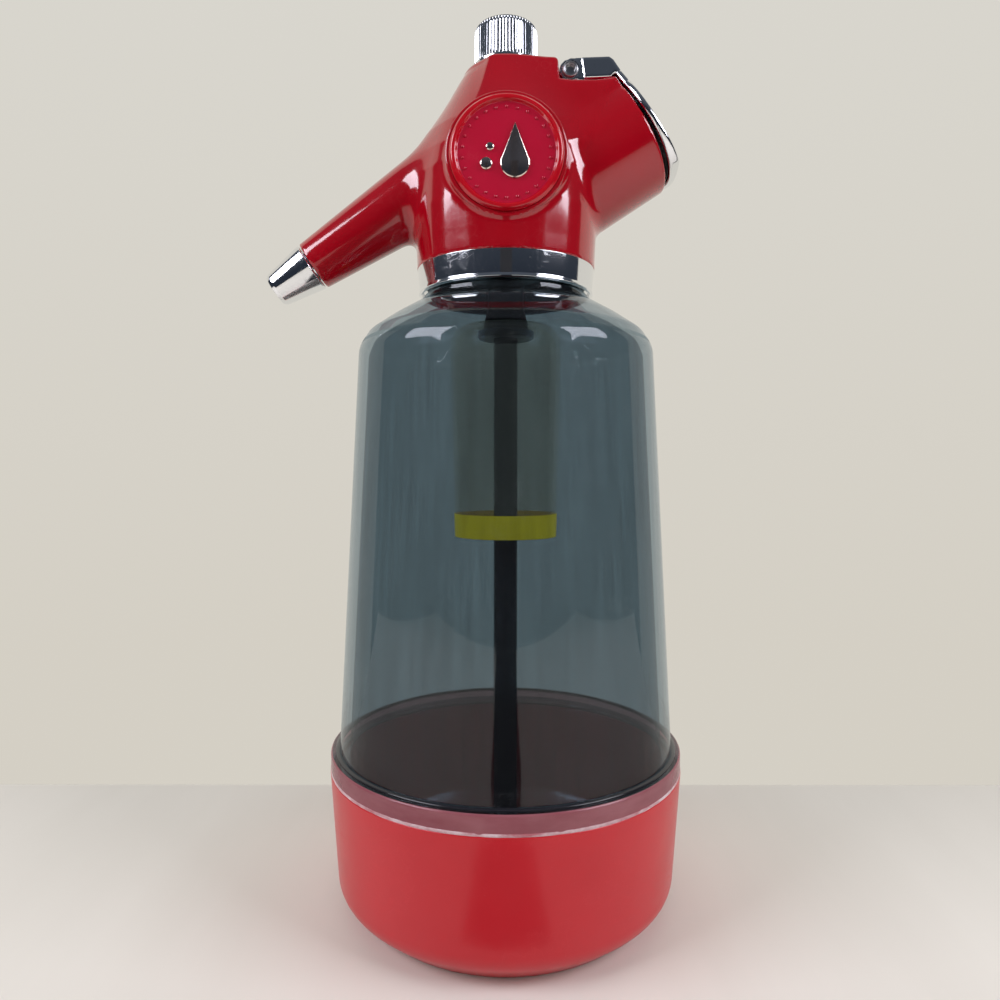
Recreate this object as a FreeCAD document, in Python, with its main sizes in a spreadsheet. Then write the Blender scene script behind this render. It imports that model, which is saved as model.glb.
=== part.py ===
import FreeCAD, Part
import math
import os
import Sketcher

# Soda siphon: a smoked pressure vessel in a red cup, a red lever head with a
# slanted spout, a squeeze lever over the end of the barrel, and a knurled cap
# over the charging stem. Origin at the centre of the flat underside, +Z up,
# -Y is the front with the round badge, -X the spout, +X the lever.

App = FreeCAD
doc = App.newDocument("soda_siphon")
sheet = doc.addObject("Spreadsheet::Sheet", "Dims")

ROW = [0]


class Q:
    """A size with its number and the expression that gives it."""

    def __init__(self, v, e):
        self.v = float(v)
        self.e = e

    def __add__(self, o):
        o = q(o)
        return Q(self.v + o.v, "(%s + %s)" % (self.e, o.e))

    def __radd__(self, o):
        return q(o) + self

    def __sub__(self, o):
        o = q(o)
        return Q(self.v - o.v, "(%s - %s)" % (self.e, o.e))

    def __rsub__(self, o):
        return q(o) - self

    def __mul__(self, o):
        o = q(o)
        return Q(self.v * o.v, "(%s * %s)" % (self.e, o.e))

    def __rmul__(self, o):
        return q(o) * self

    def __truediv__(self, o):
        o = q(o)
        return Q(self.v / o.v, "(%s / %s)" % (self.e, o.e))

    def __neg__(self):
        return Q(-self.v, "(0 - %s)" % self.e)


def q(x):
    if isinstance(x, Q):
        return x
    return Q(x, "%.6f" % float(x) if x >= 0 else "(0 - %.6f)" % abs(float(x)))


def dim(name, value):
    ROW[0] += 1
    sheet.set("A%d" % ROW[0], name)
    sheet.set("B%d" % ROW[0], "%.6f" % value)
    sheet.setAlias("B%d" % ROW[0], name)
    return Q(value, "Dims.%s" % name)


# ---------------------------------------------------------------- sizes (mm)
cup_flat = dim("cup_flat_radius", 50.0)
cup_low = dim("cup_low_radius", 59.3)
cup_rim = dim("cup_rim_radius", 62.2)
cup_top = dim("cup_height", 48.9)
cup_wall = dim("cup_wall", 2.5)
cup_floor = dim("cup_floor", 3.0)

fl_rad = dim("flange_radius", 62.0)
fl_top = dim("flange_top", 55.3)
fl_step = dim("flange_step", 52.3)
ves_low = dim("vessel_low_radius", 58.85)
ves_high = dim("vessel_high_radius", 51.5)
ves_shoulder = dim("vessel_shoulder_height", 194.1)
ves_wall = dim("vessel_wall", 3.5)
neck_bead = dim("neck_bead_radius", 28.8)
neck_root = dim("neck_root_radius", 26.7)
neck_crest = dim("neck_crest_radius", 27.6)
neck_bore = dim("neck_bore_radius", 23.0)
neck_top = dim("neck_top", 226.0)
seal_top = dim("seal_top", 229.5)

riser_r = dim("riser_radius", 4.25)
riser_bore = dim("riser_bore_radius", 2.6)
riser_low = dim("riser_low", 14.0)
riser_top = dim("riser_top", 233.0)
boss_r = dim("holder_boss_radius", 8.0)
bell_top_r = dim("bell_top_radius", 19.6)
bell_low_r = dim("bell_low_radius", 18.05)
bell_low = dim("bell_low", 128.6)
bell_wall = dim("bell_wall", 1.5)

col_r = dim("collar_radius", 30.8)
col_low = dim("collar_low", 213.4)
col_top = dim("collar_top", 222.4)
col_bore = dim("collar_bore_radius", 27.75)

sh_low_r = dim("shell_low_radius", 31.3)
sh_mid_r = dim("shell_mid_radius", 32.0)
sh_wall = dim("shell_wall", 2.4)
deck = dim("deck_height", 290.6)
deck_half = dim("deck_half_width", 13.8)
notch_floor = dim("notch_floor", 282.5)
notch_left = dim("notch_left", 16.6)

bar_angle = dim("barrel_angle", 33.1)
bar_z = dim("barrel_axis_height", 239.5)
bar_r = dim("barrel_radius", 20.5)
bar_end = dim("barrel_end", 53.3)

sp_angle = dim("spout_angle", 33.0)
sp_z = dim("spout_axis_height", 269.0)
sp_root_r = dim("spout_root_radius", 15.7)
sp_end_r = dim("spout_end_radius", 8.55)
sp_end = dim("spout_end", 81.3)
noz_tip = dim("nozzle_tip", 97.8)
noz_tip_r = dim("nozzle_tip_radius", 5.5)
noz_bore = dim("nozzle_bore_radius", 3.2)
sp_tube_r = dim("spout_tube_radius", 3.0)
sp_tube_bore = dim("spout_tube_bore_radius", 2.0)

badge_z = dim("badge_height", 251.3)
badge_r = dim("badge_radius", 17.9)
badge_boss = dim("badge_boss_radius", 19.3)
badge_front = dim("badge_boss_front", 32.6)
badge_floor = dim("badge_pocket_floor", 30.6)

blk_col = dim("block_column_radius", 12.0)
blk_top = dim("block_top", 280.0)
ch_r = dim("chamber_radius", 5.0)
rod_r = dim("plunger_rod_radius", 2.5)
rod_end = dim("plunger_end", 50.9)

piv_x = dim("pivot_x", 21.4)
piv_z = dim("pivot_z", 286.4)
pin_r = dim("pivot_pin_radius", 2.7)
lev_open = dim("lever_open_angle", 2.0)
lev_thick = dim("lever_plate_thickness", 5.5)
lev_gap = dim("lever_closed_gap", 0.25)
arm_top = dim("lever_arm_top", 290.3)
arm_low = dim("lever_arm_low", 283.0)
lever_skin = dim("lever_skin", 2.3)

stem_r = dim("stem_thread_radius", 7.8)
stem_top = dim("stem_top", 302.9)
cap_r = dim("cap_radius", 11.25)
cap_low = dim("cap_low", 292.2)
cap_top = dim("cap_top", 307.0)
cap_bore = dim("cap_bore_radius", 7.9)
cap_flutes = dim("cap_flute_count", 60)

doc.recompute()

PARTS = []          # (document object, node name) in the order they are made


def keep(obj, name):
    obj.Label = name
    PARTS.append(obj)
    return obj


def bind(obj, path, value):
    value = q(value)
    obj.setExpression(path, value.e)


def origin_plane(body, role):
    for o in body.Origin.OriginFeatures:
        if o.Role == role:
            return o
    raise RuntimeError("no plane " + role)


def closed_sketch(body, name, pts, role="XZ_Plane"):
    """A closed outline of straight lines, each corner held by two sizes."""
    sk = body.newObject("Sketcher::SketchObject", name)
    sk.AttachmentSupport = [(origin_plane(body, role), "")]
    sk.MapMode = "FlatFace"
    add_outline(sk, pts)
    return sk


def add_outline(sk, pts):
    pts = [(q(x), q(y)) for x, y in pts]
    n = len(pts)
    start = len(sk.Geometry)
    sk.addGeometry([Part.LineSegment(App.Vector(pts[i][0].v, pts[i][1].v, 0),
                                     App.Vector(pts[(i + 1) % n][0].v, pts[(i + 1) % n][1].v, 0))
                    for i in range(n)], False)
    for i in range(n):
        sk.addConstraint(Sketcher.Constraint("Coincident", start + i, 2, start + (i + 1) % n, 1))
    for i, (x, y) in enumerate(pts):
        g = start + i
        if abs(x.v) < 1e-9:
            sk.addConstraint(Sketcher.Constraint("PointOnObject", g, 1, -2))
        else:
            c = sk.addConstraint(Sketcher.Constraint("DistanceX", -1, 1, g, 1, x.v))
            if "Dims" in x.e:
                sk.setExpression("Constraints[%d]" % c, x.e)
        if abs(y.v) < 1e-9:
            sk.addConstraint(Sketcher.Constraint("PointOnObject", g, 1, -1))
        else:
            c = sk.addConstraint(Sketcher.Constraint("DistanceY", -1, 1, g, 1, y.v))
            if "Dims" in y.e:
                sk.setExpression("Constraints[%d]" % c, y.e)


def turned(name, pts, final=True):
    """A turned piece: its half section in r and z, revolved about the Z axis."""
    body = doc.addObject("PartDesign::Body", name)
    sk = closed_sketch(body, name + "_section", pts)
    rev = body.newObject("PartDesign::Revolution", name + "_turn")
    rev.Profile = sk
    rev.ReferenceAxis = (sk, ["V_Axis"])
    rev.Angle = 360.0
    sk.Visibility = False
    doc.recompute()
    if final:
        keep(body, name)
    return body


def round_rings(body, rings, radius):
    """Fillets on the circular edges at the given (r, z) of a turned body."""
    doc.recompute()
    tip = body.Tip
    names = []
    for k, e in enumerate(tip.Shape.Edges):
        c = e.Curve
        if not isinstance(c, Part.Circle):
            continue
        for r, z in rings:
            if abs(c.Radius - q(r).v) < 0.02 and abs(c.Center.z - q(z).v) < 0.02:
                names.append("Edge%d" % (k + 1))
    if not names:
        raise RuntimeError("no ring to round on " + body.Name)
    f = body.newObject("PartDesign::Fillet", body.Name + "_round%d" % len(body.Group))
    f.Base = (tip, names)
    f.Radius = q(radius).v
    if "Dims" in q(radius).e:
        bind(f, "Radius", radius)
    doc.recompute()
    return f


def cut_round(body, name, x, y, r, role, depth_mid=True, length=200.0, offset=None):
    """A round hole through a body, drawn on an origin plane."""
    sk = body.newObject("Sketcher::SketchObject", name + "_sketch")
    sk.AttachmentSupport = [(origin_plane(body, role), "")]
    sk.MapMode = "FlatFace"
    if offset is not None:
        sk.AttachmentOffset = App.Placement(App.Vector(0, 0, offset), App.Rotation())
    x, y, r = q(x), q(y), q(r)
    sk.addGeometry(Part.Circle(App.Vector(x.v, y.v, 0), App.Vector(0, 0, 1), r.v), False)
    c = sk.addConstraint(Sketcher.Constraint("Radius", 0, r.v))
    if "Dims" in r.e:
        sk.setExpression("Constraints[%d]" % c, r.e)
    for kind, val, axis in (("DistanceX", x, -2), ("DistanceY", y, -1)):
        if abs(val.v) < 1e-9:
            sk.addConstraint(Sketcher.Constraint("PointOnObject", 0, 3, axis))
        else:
            c = sk.addConstraint(Sketcher.Constraint(kind, -1, 1, 0, 3, val.v))
            if "Dims" in val.e:
                sk.setExpression("Constraints[%d]" % c, val.e)
    before = body.Tip.Shape.Volume
    pk = body.newObject("PartDesign::Pocket", name)
    pk.Profile = sk
    pk.Type = 0
    pk.Length = length
    pk.Midplane = depth_mid
    doc.recompute()
    if not body.Tip.Shape.Volume < before - 0.01:
        raise RuntimeError("nothing cut by " + name)
    return pk


def placed(obj, base, axis, angle):
    """Placement bound to the sheet: a base point and a turn about an axis."""
    obj.Placement = App.Placement(App.Vector(*[q(b).v for b in base]), App.Rotation(App.Vector(*axis), q(angle).v))
    for k, b in zip("xyz", base):
        if "Dims" in q(b).e:
            bind(obj, "Placement.Base." + k, b)
    if "Dims" in q(angle).e:
        bind(obj, "Placement.Rotation.Angle", angle)
    return obj


def barrel_frame(obj):
    """Local Z along the barrel, out towards the lever."""
    return placed(obj, (0, 0, bar_z), (0, 1, 0), 90.0 - bar_angle)


def spout_frame(obj):
    """Local Z along the spout, out towards the mouth."""
    return placed(obj, (0, 0, sp_z), (0, 1, 0), -(90.0 + sp_angle))


# ------------------------------------------------------------------- vessel
turned("base_cup", [
    (0, 0), (cup_flat, 0), (cup_flat + 4.6, 1.3), (cup_low - 1.6, 4.2), (cup_low, 9.0),
    (cup_rim, cup_top), (cup_rim - cup_wall, cup_top),
    (cup_low - cup_wall + 0.1, 10.0), (cup_low - cup_wall - 3.2, 5.2),
    (cup_low - cup_wall - 7.0, cup_floor), (0, cup_floor)])

turned("vessel_bottom", [
    (0, cup_floor), (cup_flat - 3.0, cup_floor), (cup_flat + 2.0, cup_floor + 2.2), (cup_low - 3.6, cup_floor + 9.0),
    (cup_rim - 4.6, cup_top), (fl_rad - 2.1, cup_top), (fl_rad - 2.1, fl_step),
    (ves_low - ves_wall, fl_step), (ves_low - ves_wall - 0.3, 46.0),
    (cup_low - 6.2, cup_floor + 11.5), (cup_flat - 0.6, cup_floor + 6.2), (cup_flat - 5.0, cup_floor + 4.2),
    (0, cup_floor + 4.2)])

b = turned("vessel_body", [
    (fl_rad - 2.05, cup_top), (fl_rad, cup_top), (fl_rad, fl_top), (ves_low, fl_top),
    (ves_high, ves_shoulder), (ves_high - 0.75, 197.2), (ves_high - 3.1, 199.3), (39.8, 205.3), (30.2, 210.9),
    (neck_bead, 211.6), (neck_bead, 213.2), (neck_root, 213.6),
    (neck_root, 215.0), (neck_crest, 215.6), (neck_crest, 216.6), (neck_root, 217.2),
    (neck_root, 219.0), (neck_crest, 219.6), (neck_crest, 220.6), (neck_root, 221.2),
    (neck_root, 223.0), (neck_crest, 223.6), (neck_crest, 224.6), (neck_root, 225.2),
    (neck_root, neck_top), (neck_bore, neck_top), (neck_bore, 209.4), (neck_bore + 1.2, 208.2),
    (37.6, 202.3), (ves_high - 5.3, 196.4), (ves_high - ves_wall - 0.3, 193.8),
    (ves_low - ves_wall, fl_step), (fl_rad - 2.05, fl_step)])

# -------------------------------------------------------------------- tubes
turned("neck_gasket", [
    (24.8, neck_top), (27.3, neck_top), (27.3, seal_top), (24.8, seal_top)])

b = turned("tube_holder", [
    (riser_r, 199.0), (boss_r + 2.0, 199.0), (boss_r + 2.0, 201.6), (boss_r, 201.6),
    (boss_r, 222.0), (22.7, 222.0), (22.7, neck_top), (24.6, neck_top), (24.6, seal_top), (riser_r, seal_top)])
cut_round(b, "vent", 15.5, 0, 2.6, "XY_Plane", True, 600.0)
doc.recompute()
pp = b.newObject("PartDesign::PolarPattern", "vents")
pp.Originals = [doc.getObject("vent")]
pp.Axis = (doc.getObject("vent_sketch"), ["N_Axis"])
pp.Angle = 360.0
pp.Occurrences = 6
b.Tip = pp
doc.recompute()

turned("measuring_tube", [
    (boss_r, 201.6), (boss_r, 203.4), (15.2, 203.0), (17.9, 201.4), (19.2, 198.9), (bell_top_r, 195.0),
    (bell_low_r, bell_low), (bell_low_r - bell_wall, bell_low),
    (bell_top_r - bell_wall, 195.0), (17.8, 198.3), (16.8, 200.2), (14.9, 201.4), (12.0, 201.6)])

turned("riser_tube", [
    (riser_bore, riser_low), (riser_r, riser_low), (riser_r, riser_top), (riser_bore, riser_top)])

b = turned("riser_foot", [
    (riser_bore, 9.4), (6.2, 9.4), (6.6, 12.0), (6.6, 21.0), (5.8, 22.0), (riser_r, 22.0), (riser_r, riser_low), (riser_bore, riser_low)])
cut_round(b, "inlet_x", 0, 11.2, 1.1, "YZ_Plane", True, 40.0)
cut_round(b, "inlet_y", 0, 11.2, 1.1, "XZ_Plane", True, 40.0)

# --------------------------------------------------------------- head shell
# The outer form is joined from a turned body, a slanted spout cone, a barrel
# with a rounded keel, the top ridge and the badge boss; the cavity follows it.


def profile_face(pts):
    vs = [App.Vector(*p) for p in pts]
    return Part.Face(Part.makePolygon(vs + [vs[0]]))


def keel_wire(r, top, half, corner=-3.0):
    """Section across the barrel: a semicircular keel with flanks drawn in."""
    y0 = math.sqrt(r * r - corner * corner)
    a = App.Vector(corner, y0, 0)
    c = App.Vector(corner, -y0, 0)
    arc = Part.Arc(a, App.Vector(r, 0, 0), c).toShape()
    l1 = Part.LineSegment(c, App.Vector(top, -half, 0)).toShape()
    l2 = Part.LineSegment(App.Vector(top, -half, 0), App.Vector(top, half, 0)).toShape()
    l3 = Part.LineSegment(App.Vector(top, half, 0), a).toShape()
    return Part.Wire([arc, l1, l2, l3])


def val(name):
    return float(sheet.get(name))


def barrel_placement():
    return App.Placement(App.Vector(0, 0, val("barrel_axis_height")),
                         App.Rotation(App.Vector(0, 1, 0), 90.0 - val("barrel_angle")))


def keel_prism(r, top, half, s0, s1):
    f = Part.Face(keel_wire(r, top, half))
    p = f.extrude(App.Vector(0, 0, s1 - s0))
    p.translate(App.Vector(0, 0, s0))
    p.Placement = barrel_placement().multiply(p.Placement)
    return p


def turned_tool(name, pts):
    body = turned(name, pts, final=False)
    return body


w = sh_wall
shell_out = turned_tool("shell_form", [
    (0, col_top), (sh_low_r, col_top), (sh_low_r + 0.25, 228.0), (sh_mid_r, 240.0), (sh_mid_r - 0.5, 252.0),
    (30.0, 259.0), (27.0, 267.0), (22.4, 275.6), (16.9, 285.8), (14.9, 288.7), (12.0, deck), (0, deck)])
shell_in = turned_tool("shell_cavity", [
    (0, col_top - 2.0), (29.0, col_top - 2.0), (29.0, 251.0), (26.9, 258.0), (24.2, 266.0), (19.6, 274.6), (14.4, 284.6), (12.6, deck - w), (0, deck - w)])


def cone_obj(name, r1, r2, height, base, axis, angle):
    o = doc.addObject("Part::Cone", name)
    for k, v in (("Radius1", r1), ("Radius2", r2), ("Height", height)):
        setattr(o, k, q(v).v)
        if "Dims" in q(v).e:
            bind(o, k, v)
    placed(o, base, axis, angle)
    return o


def cyl_obj(name, r, height, base, axis, angle):
    o = doc.addObject("Part::Cylinder", name)
    for k, v in (("Radius", r), ("Height", height)):
        setattr(o, k, q(v).v)
        if "Dims" in q(v).e:
            bind(o, k, v)
    placed(o, base, axis, angle)
    return o


def box_obj(name, lo, size):
    o = doc.addObject("Part::Box", name)
    for k, v in zip(("Length", "Width", "Height"), size):
        setattr(o, k, q(v).v)
        if "Dims" in q(v).e:
            bind(o, k, v)
    placed(o, lo, (0, 0, 1), 0)
    return o


def fused(name, objs):
    o = doc.addObject("Part::MultiFuse", name)
    o.Shapes = objs
    doc.recompute()
    return o


def cut(name, base, tool):
    o = doc.addObject("Part::Cut", name)
    o.Base = base
    o.Tool = tool
    doc.recompute()
    return o


def common(name, objs):
    o = doc.addObject("Part::MultiCommon", name)
    o.Shapes = objs
    doc.recompute()
    return o


def keel_body(name, r, top, half, s0, s1):
    """The barrel section as a sketch, padded along the barrel."""
    body = doc.addObject("PartDesign::Body", name)
    sk = body.newObject("Sketcher::SketchObject", name + "_section")
    sk.AttachmentSupport = [(origin_plane(body, "XY_Plane"), "")]
    sk.MapMode = "FlatFace"
    sk.AttachmentOffset = App.Placement(App.Vector(0, 0, q(s0).v), App.Rotation())
    if "Dims" in q(s0).e:
        sk.setExpression("AttachmentOffset.Base.z", q(s0).e)
    r, top, half = q(r), q(top), q(half)
    corner = -3.0
    y0 = math.sqrt(r.v * r.v - corner * corner)
    a0 = math.atan2(-y0, corner)
    arc = Part.ArcOfCircle(Part.Circle(App.Vector(0, 0, 0), App.Vector(0, 0, 1), r.v), a0, -a0)
    sk.addGeometry(arc, False)                                                     # 0
    p_lo, p_hi = App.Vector(corner, -y0, 0), App.Vector(corner, y0, 0)
    t_lo, t_hi = App.Vector(top.v, -half.v, 0), App.Vector(top.v, half.v, 0)
    sk.addGeometry([Part.LineSegment(p_hi, t_hi), Part.LineSegment(t_hi, t_lo), Part.LineSegment(t_lo, p_lo)], False)
    C = Sketcher.Constraint
    sk.addConstraint(C("Coincident", 0, 3, -1, 1))
    sk.addConstraint(C("Coincident", 0, 2, 1, 1))
    sk.addConstraint(C("Coincident", 1, 2, 2, 1))
    sk.addConstraint(C("Coincident", 2, 2, 3, 1))
    sk.addConstraint(C("Coincident", 3, 2, 0, 1))
    c = sk.addConstraint(C("Radius", 0, r.v))
    sk.setExpression("Constraints[%d]" % c, r.e)
    sk.addConstraint(C("DistanceX", -1, 1, 0, 1, corner))
    sk.addConstraint(C("DistanceX", -1, 1, 0, 2, corner))
    sk.addConstraint(C("DistanceX", -1, 1, 1, 2, top.v))
    sk.addConstraint(C("DistanceX", -1, 1, 2, 2, top.v))
    sk.addConstraint(C("DistanceY", -1, 1, 1, 2, half.v))
    sk.addConstraint(C("DistanceY", -1, 1, 2, 2, -half.v))
    doc.recompute()
    pad = body.newObject("PartDesign::Pad", name + "_pad")
    pad.Profile = sk
    length = q(s1) - q(s0)
    pad.Length = length.v
    if "Dims" in length.e:
        bind(pad, "Length", length)
    doc.recompute()
    barrel_frame(body)
    doc.recompute()
    return body


def side_pad(name, pts, half):
    """An outline in X and Z, padded evenly to both sides of the middle plane."""
    body = doc.addObject("PartDesign::Body", name)
    sk = closed_sketch(body, name + "_outline", pts)
    pad = body.newObject("PartDesign::Pad", name + "_pad")
    pad.Profile = sk
    pad.Midplane = True
    full = q(half) * 2.0
    pad.Length = full.v
    if "Dims" in full.e:
        bind(pad, "Length", full)
    doc.recompute()
    return body


def spout_cone(name, r_root, r_end, s0, s1, ref_end):
    """A stretch of cone along the spout from s0 to s1."""
    o = doc.addObject("Part::Cone", name)
    o.Radius1 = q(r_root).v
    o.Radius2 = q(r_end).v
    o.Height = (q(s1) - q(s0)).v
    bind(o, "Radius1", r_root)
    bind(o, "Radius2", r_end)
    bind(o, "Height", q(s1) - q(s0))
    spout_frame(o)
    return o


spout_out = spout_cone("spout_form", sp_root_r, sp_end_r, 0, sp_end, sp_end)
spout_in = spout_cone("spout_cavity", sp_root_r - w, sp_end_r - 2.0, 0, sp_end + 0.0, sp_end)
barrel_out = keel_body("barrel_form", bar_r, -17.5, 14.0, 4.0, bar_end)
barrel_in = keel_body("barrel_cavity", bar_r - w, -15.1, 11.8, 4.0, bar_end + 6.0)
ridge_out = side_pad("ridge_form", [
    (-11.0, 272.0), (24.0, 268.0), (35.25, notch_floor), (notch_left, notch_floor), (notch_left, deck), (-11.0, deck)], deck_half)
ridge_in = side_pad("ridge_cavity", [
    (-8.6, 268.0), (22.0, 266.0), (31.0, notch_floor - w), (notch_left - w, notch_floor - w), (notch_left - w, deck - w), (-8.6, deck - w)], deck_half - w)
boss = cyl_obj("badge_boss_form", badge_boss, badge_front - 14.0, (0, -14.0, badge_z), (1, 0, 0), 90.0)
pocket = cyl_obj("badge_pocket", badge_r + 0.1, 10.0, (0, -badge_floor, badge_z), (1, 0, 0), 90.0)
screw_way = cyl_obj("badge_screw_way", 1.3, 10.0, (0, -26.0, badge_z), (1, 0, 0), 90.0)
lug = side_pad("pivot_lug", [(18.0, 276.0), (24.8, 276.0), (24.8, piv_z + 1.2), (23.2, piv_z + 2.4), (19.6, piv_z + 2.4), (18.0, piv_z + 1.2)], 9.0)
lug_hole = cyl_obj("pivot_hole", pin_r, 40.0, (piv_x, 20.0, piv_z), (1, 0, 0), 90.0)
deck_hole = cyl_obj("deck_hole", stem_r + 0.1, 12.0, (0, 0, deck - 6.0), (0, 0, 1), 0.0)
nozzle_way = cyl_obj("nozzle_way", sp_end_r - 2.0, 8.0, (0, 0, sp_z), (0, 1, 0), 0.0)
doc.removeObject("nozzle_way")

form = fused("head_form", [shell_out, spout_out, barrel_out, ridge_out, boss])
cavity = fused("head_cavity", [shell_in, spout_in, barrel_in, ridge_in])
hollow = cut("head_hollow", form, cavity)
lugged = fused("head_lugged", [hollow, lug])
tools = fused("head_holes", [pocket, screw_way, deck_hole, lug_hole])
keep(cut("head_shell_cut", lugged, tools), "head_shell")

# ------------------------------------------------------------------- collar
turned("collar", [
    (29.4, col_low), (col_r - 0.5, col_low), (col_r, col_low + 0.5), (col_r, col_top),
    (28.9, col_top), (28.9, seal_top), (col_bore, seal_top), (col_bore, 215.6), (29.4, 215.0)])

# -------------------------------------------------------------- valve block
blk_flange = turned_tool("block_form", [
    (0, seal_top), (28.8, seal_top), (28.8, 233.0), (blk_col + 2.0, 234.2), (blk_col, 236.0), (blk_col, blk_top), (0, blk_top)])
housing = cyl_obj("block_housing", 9.5, 26.0, (0, 0, 0), (0, 1, 0), 0.0)
placed(housing, (0, 0, bar_z), (0, 1, 0), 90.0 - bar_angle)
chamber = turned_tool("block_chamber", [(0, -3.0), (ch_r, -3.0), (ch_r, 20.0), (6.2, 20.0), (6.2, 30.0), (0, 30.0)])
barrel_frame(chamber)
riser_socket = cyl_obj("block_riser_socket", riser_r + 0.06, riser_top - seal_top + 1.1, (0, 0, seal_top - 1.0), (0, 0, 1), 0.0)
riser_way = cyl_obj("block_riser_way", riser_bore, 6.0, (0, 0, riser_top), (0, 0, 1), 0.0)
cup = cyl_obj("block_cup", 9.0, 20.0, (0, 0, 272.0), (0, 0, 1), 0.0)
gas_way = cyl_obj("block_gas_way", 1.2, 60.0, (0, 7.5, 225.0), (0, 0, 1), 0.0)
# outlet: from the chamber past the seat up to the spout tube's socket
p1 = App.Vector(14.5 * math.cos(math.radians(33.1)), 0, 239.5 + 14.5 * math.sin(math.radians(33.1)))
p2 = App.Vector(-6.2 * math.cos(math.radians(33.0)), 0, 269.0 - 6.2 * math.sin(math.radians(33.0)))
dv = p2 - p1
outlet = doc.addObject("Part::Cylinder", "block_outlet")
outlet.Radius = 1.8
outlet.Height = dv.Length
outlet.Placement = App.Placement(p1, App.Rotation(App.Vector(0, 0, 1), dv))
bind(outlet, "Radius", sp_tube_bore - 0.2)
tube_socket = turned_tool("block_tube_socket", [(0, 5.0), (sp_tube_bore, 5.0), (sp_tube_bore, 9.0), (sp_tube_r, 9.0), (sp_tube_r, 30.0), (0, 30.0)])
spout_frame(tube_socket)
blk_out = fused("block_outer", [blk_flange, housing])
blk_in = fused("block_ways", [chamber, riser_socket, riser_way, cup, gas_way, outlet, tube_socket])
keep(cut("valve_block_cut", blk_out, blk_in), "valve_block")

barrel_frame(turned("valve_seat", [(3.3, 10.2), (ch_r, 10.2), (ch_r, 12.0), (3.3, 12.0), (3.0, 11.4), (3.0, 10.6)]))
barrel_frame(turned("gland_seal", [(rod_r + 0.05, 17.4), (ch_r, 17.4), (ch_r, 19.8), (rod_r + 0.05, 19.8)]))

# gland nut: threaded spigot with a hexagon outside
g = turned_tool("gland_spigot", [(rod_r + 0.06, 20.0), (6.15, 20.0), (6.15, 27.0), (rod_r + 0.06, 27.0)])
barrel_frame(g)
hexa = doc.addObject("Part::Prism", "gland_hexagon")
hexa.Polygon = 6
hexa.Circumradius = 8.2
hexa.Height = 4.0
s27 = 27.0
placed(hexa, (s27 * math.cos(math.radians(33.1)), 0, 239.5 + s27 * math.sin(math.radians(33.1))), (0, 1, 0), 90.0 - bar_angle)
hb = turned_tool("gland_bore", [(0, 19.0), (rod_r + 0.06, 19.0), (rod_r + 0.06, 33.0), (0, 33.0)])
barrel_frame(hb)
keep(cut("gland_nut_cut", fused("gland_outer", [g, hexa]), hb), "gland_nut")

# ------------------------------------------------------------------ plunger
barrel_frame(turned("plunger", [
    (0, 1.0), (1.6, 1.0), (1.6, 5.6), (4.6, 5.6), (4.6, 7.4), (1.9, 7.4), (1.9, 9.2), (rod_r, 9.2),
    (rod_r, rod_end - 4.6), (6.2, rod_end - 3.4), (6.6, rod_end - 1.4), (5.6, rod_end - 0.3), (3.0, rod_end), (0, rod_end)]))
barrel_frame(turned("plunger_washer", [(1.9, 7.4), (4.5, 7.4), (4.5, 9.2), (1.9, 9.2)]))


def spring_shape(rad, wire, s0, s1, turns):
    """Compression spring made of ring-like turns along a true helix."""
    pitch = (s1 - s0 - wire * 2.0) / turns
    hx = Part.makeHelix(pitch, pitch * turns, rad)
    circ = Part.Wire([Part.Circle(App.Vector(rad, 0, 0), App.Vector(0, 1, 0), wire).toShape()])
    sw = Part.Wire(hx.Edges).makePipeShell([circ], True, True)
    m = App.Matrix()
    m.move(App.Vector(0, 0, s0 + wire))
    return sw.transformGeometry(m)


spring = doc.addObject("Part::Feature", "valve_spring")
s_low = -2.4
spring.Shape = spring_shape(3.1, 0.4, 0.0, 5.55 - s_low, 5.0)
placed(spring, (s_low * math.cos(math.radians(33.1)), 0, 239.5 + s_low * math.sin(math.radians(33.1))), (0, 1, 0), 90.0 - bar_angle)
keep(spring, "valve_spring")

# ---------------------------------------------------------- spout and nozzle
spout_frame(turned("spout_tube", [
    (sp_tube_bore, 9.0), (sp_tube_r, 9.0), (sp_tube_r, 92.0), (sp_tube_bore, 92.0)]))
spout_frame(turned("spout_grommet", [
    (sp_tube_r, 66.0), (6.9, 66.0), (6.6, 72.5), (sp_tube_r, 72.5)]))
spout_frame(turned("nozzle", [
    (noz_bore, 74.0), (6.3, 74.0), (6.3, sp_end + 0.5), (sp_end_r - 0.5, sp_end + 0.5), (sp_end_r, sp_end + 1.0),
    (noz_tip_r + 0.55, noz_tip - 1.4), (noz_tip_r, noz_tip - 0.4), (noz_tip_r - 0.6, noz_tip),
    (noz_bore + 0.9, noz_tip), (noz_bore, noz_tip - 0.9)]))

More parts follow.
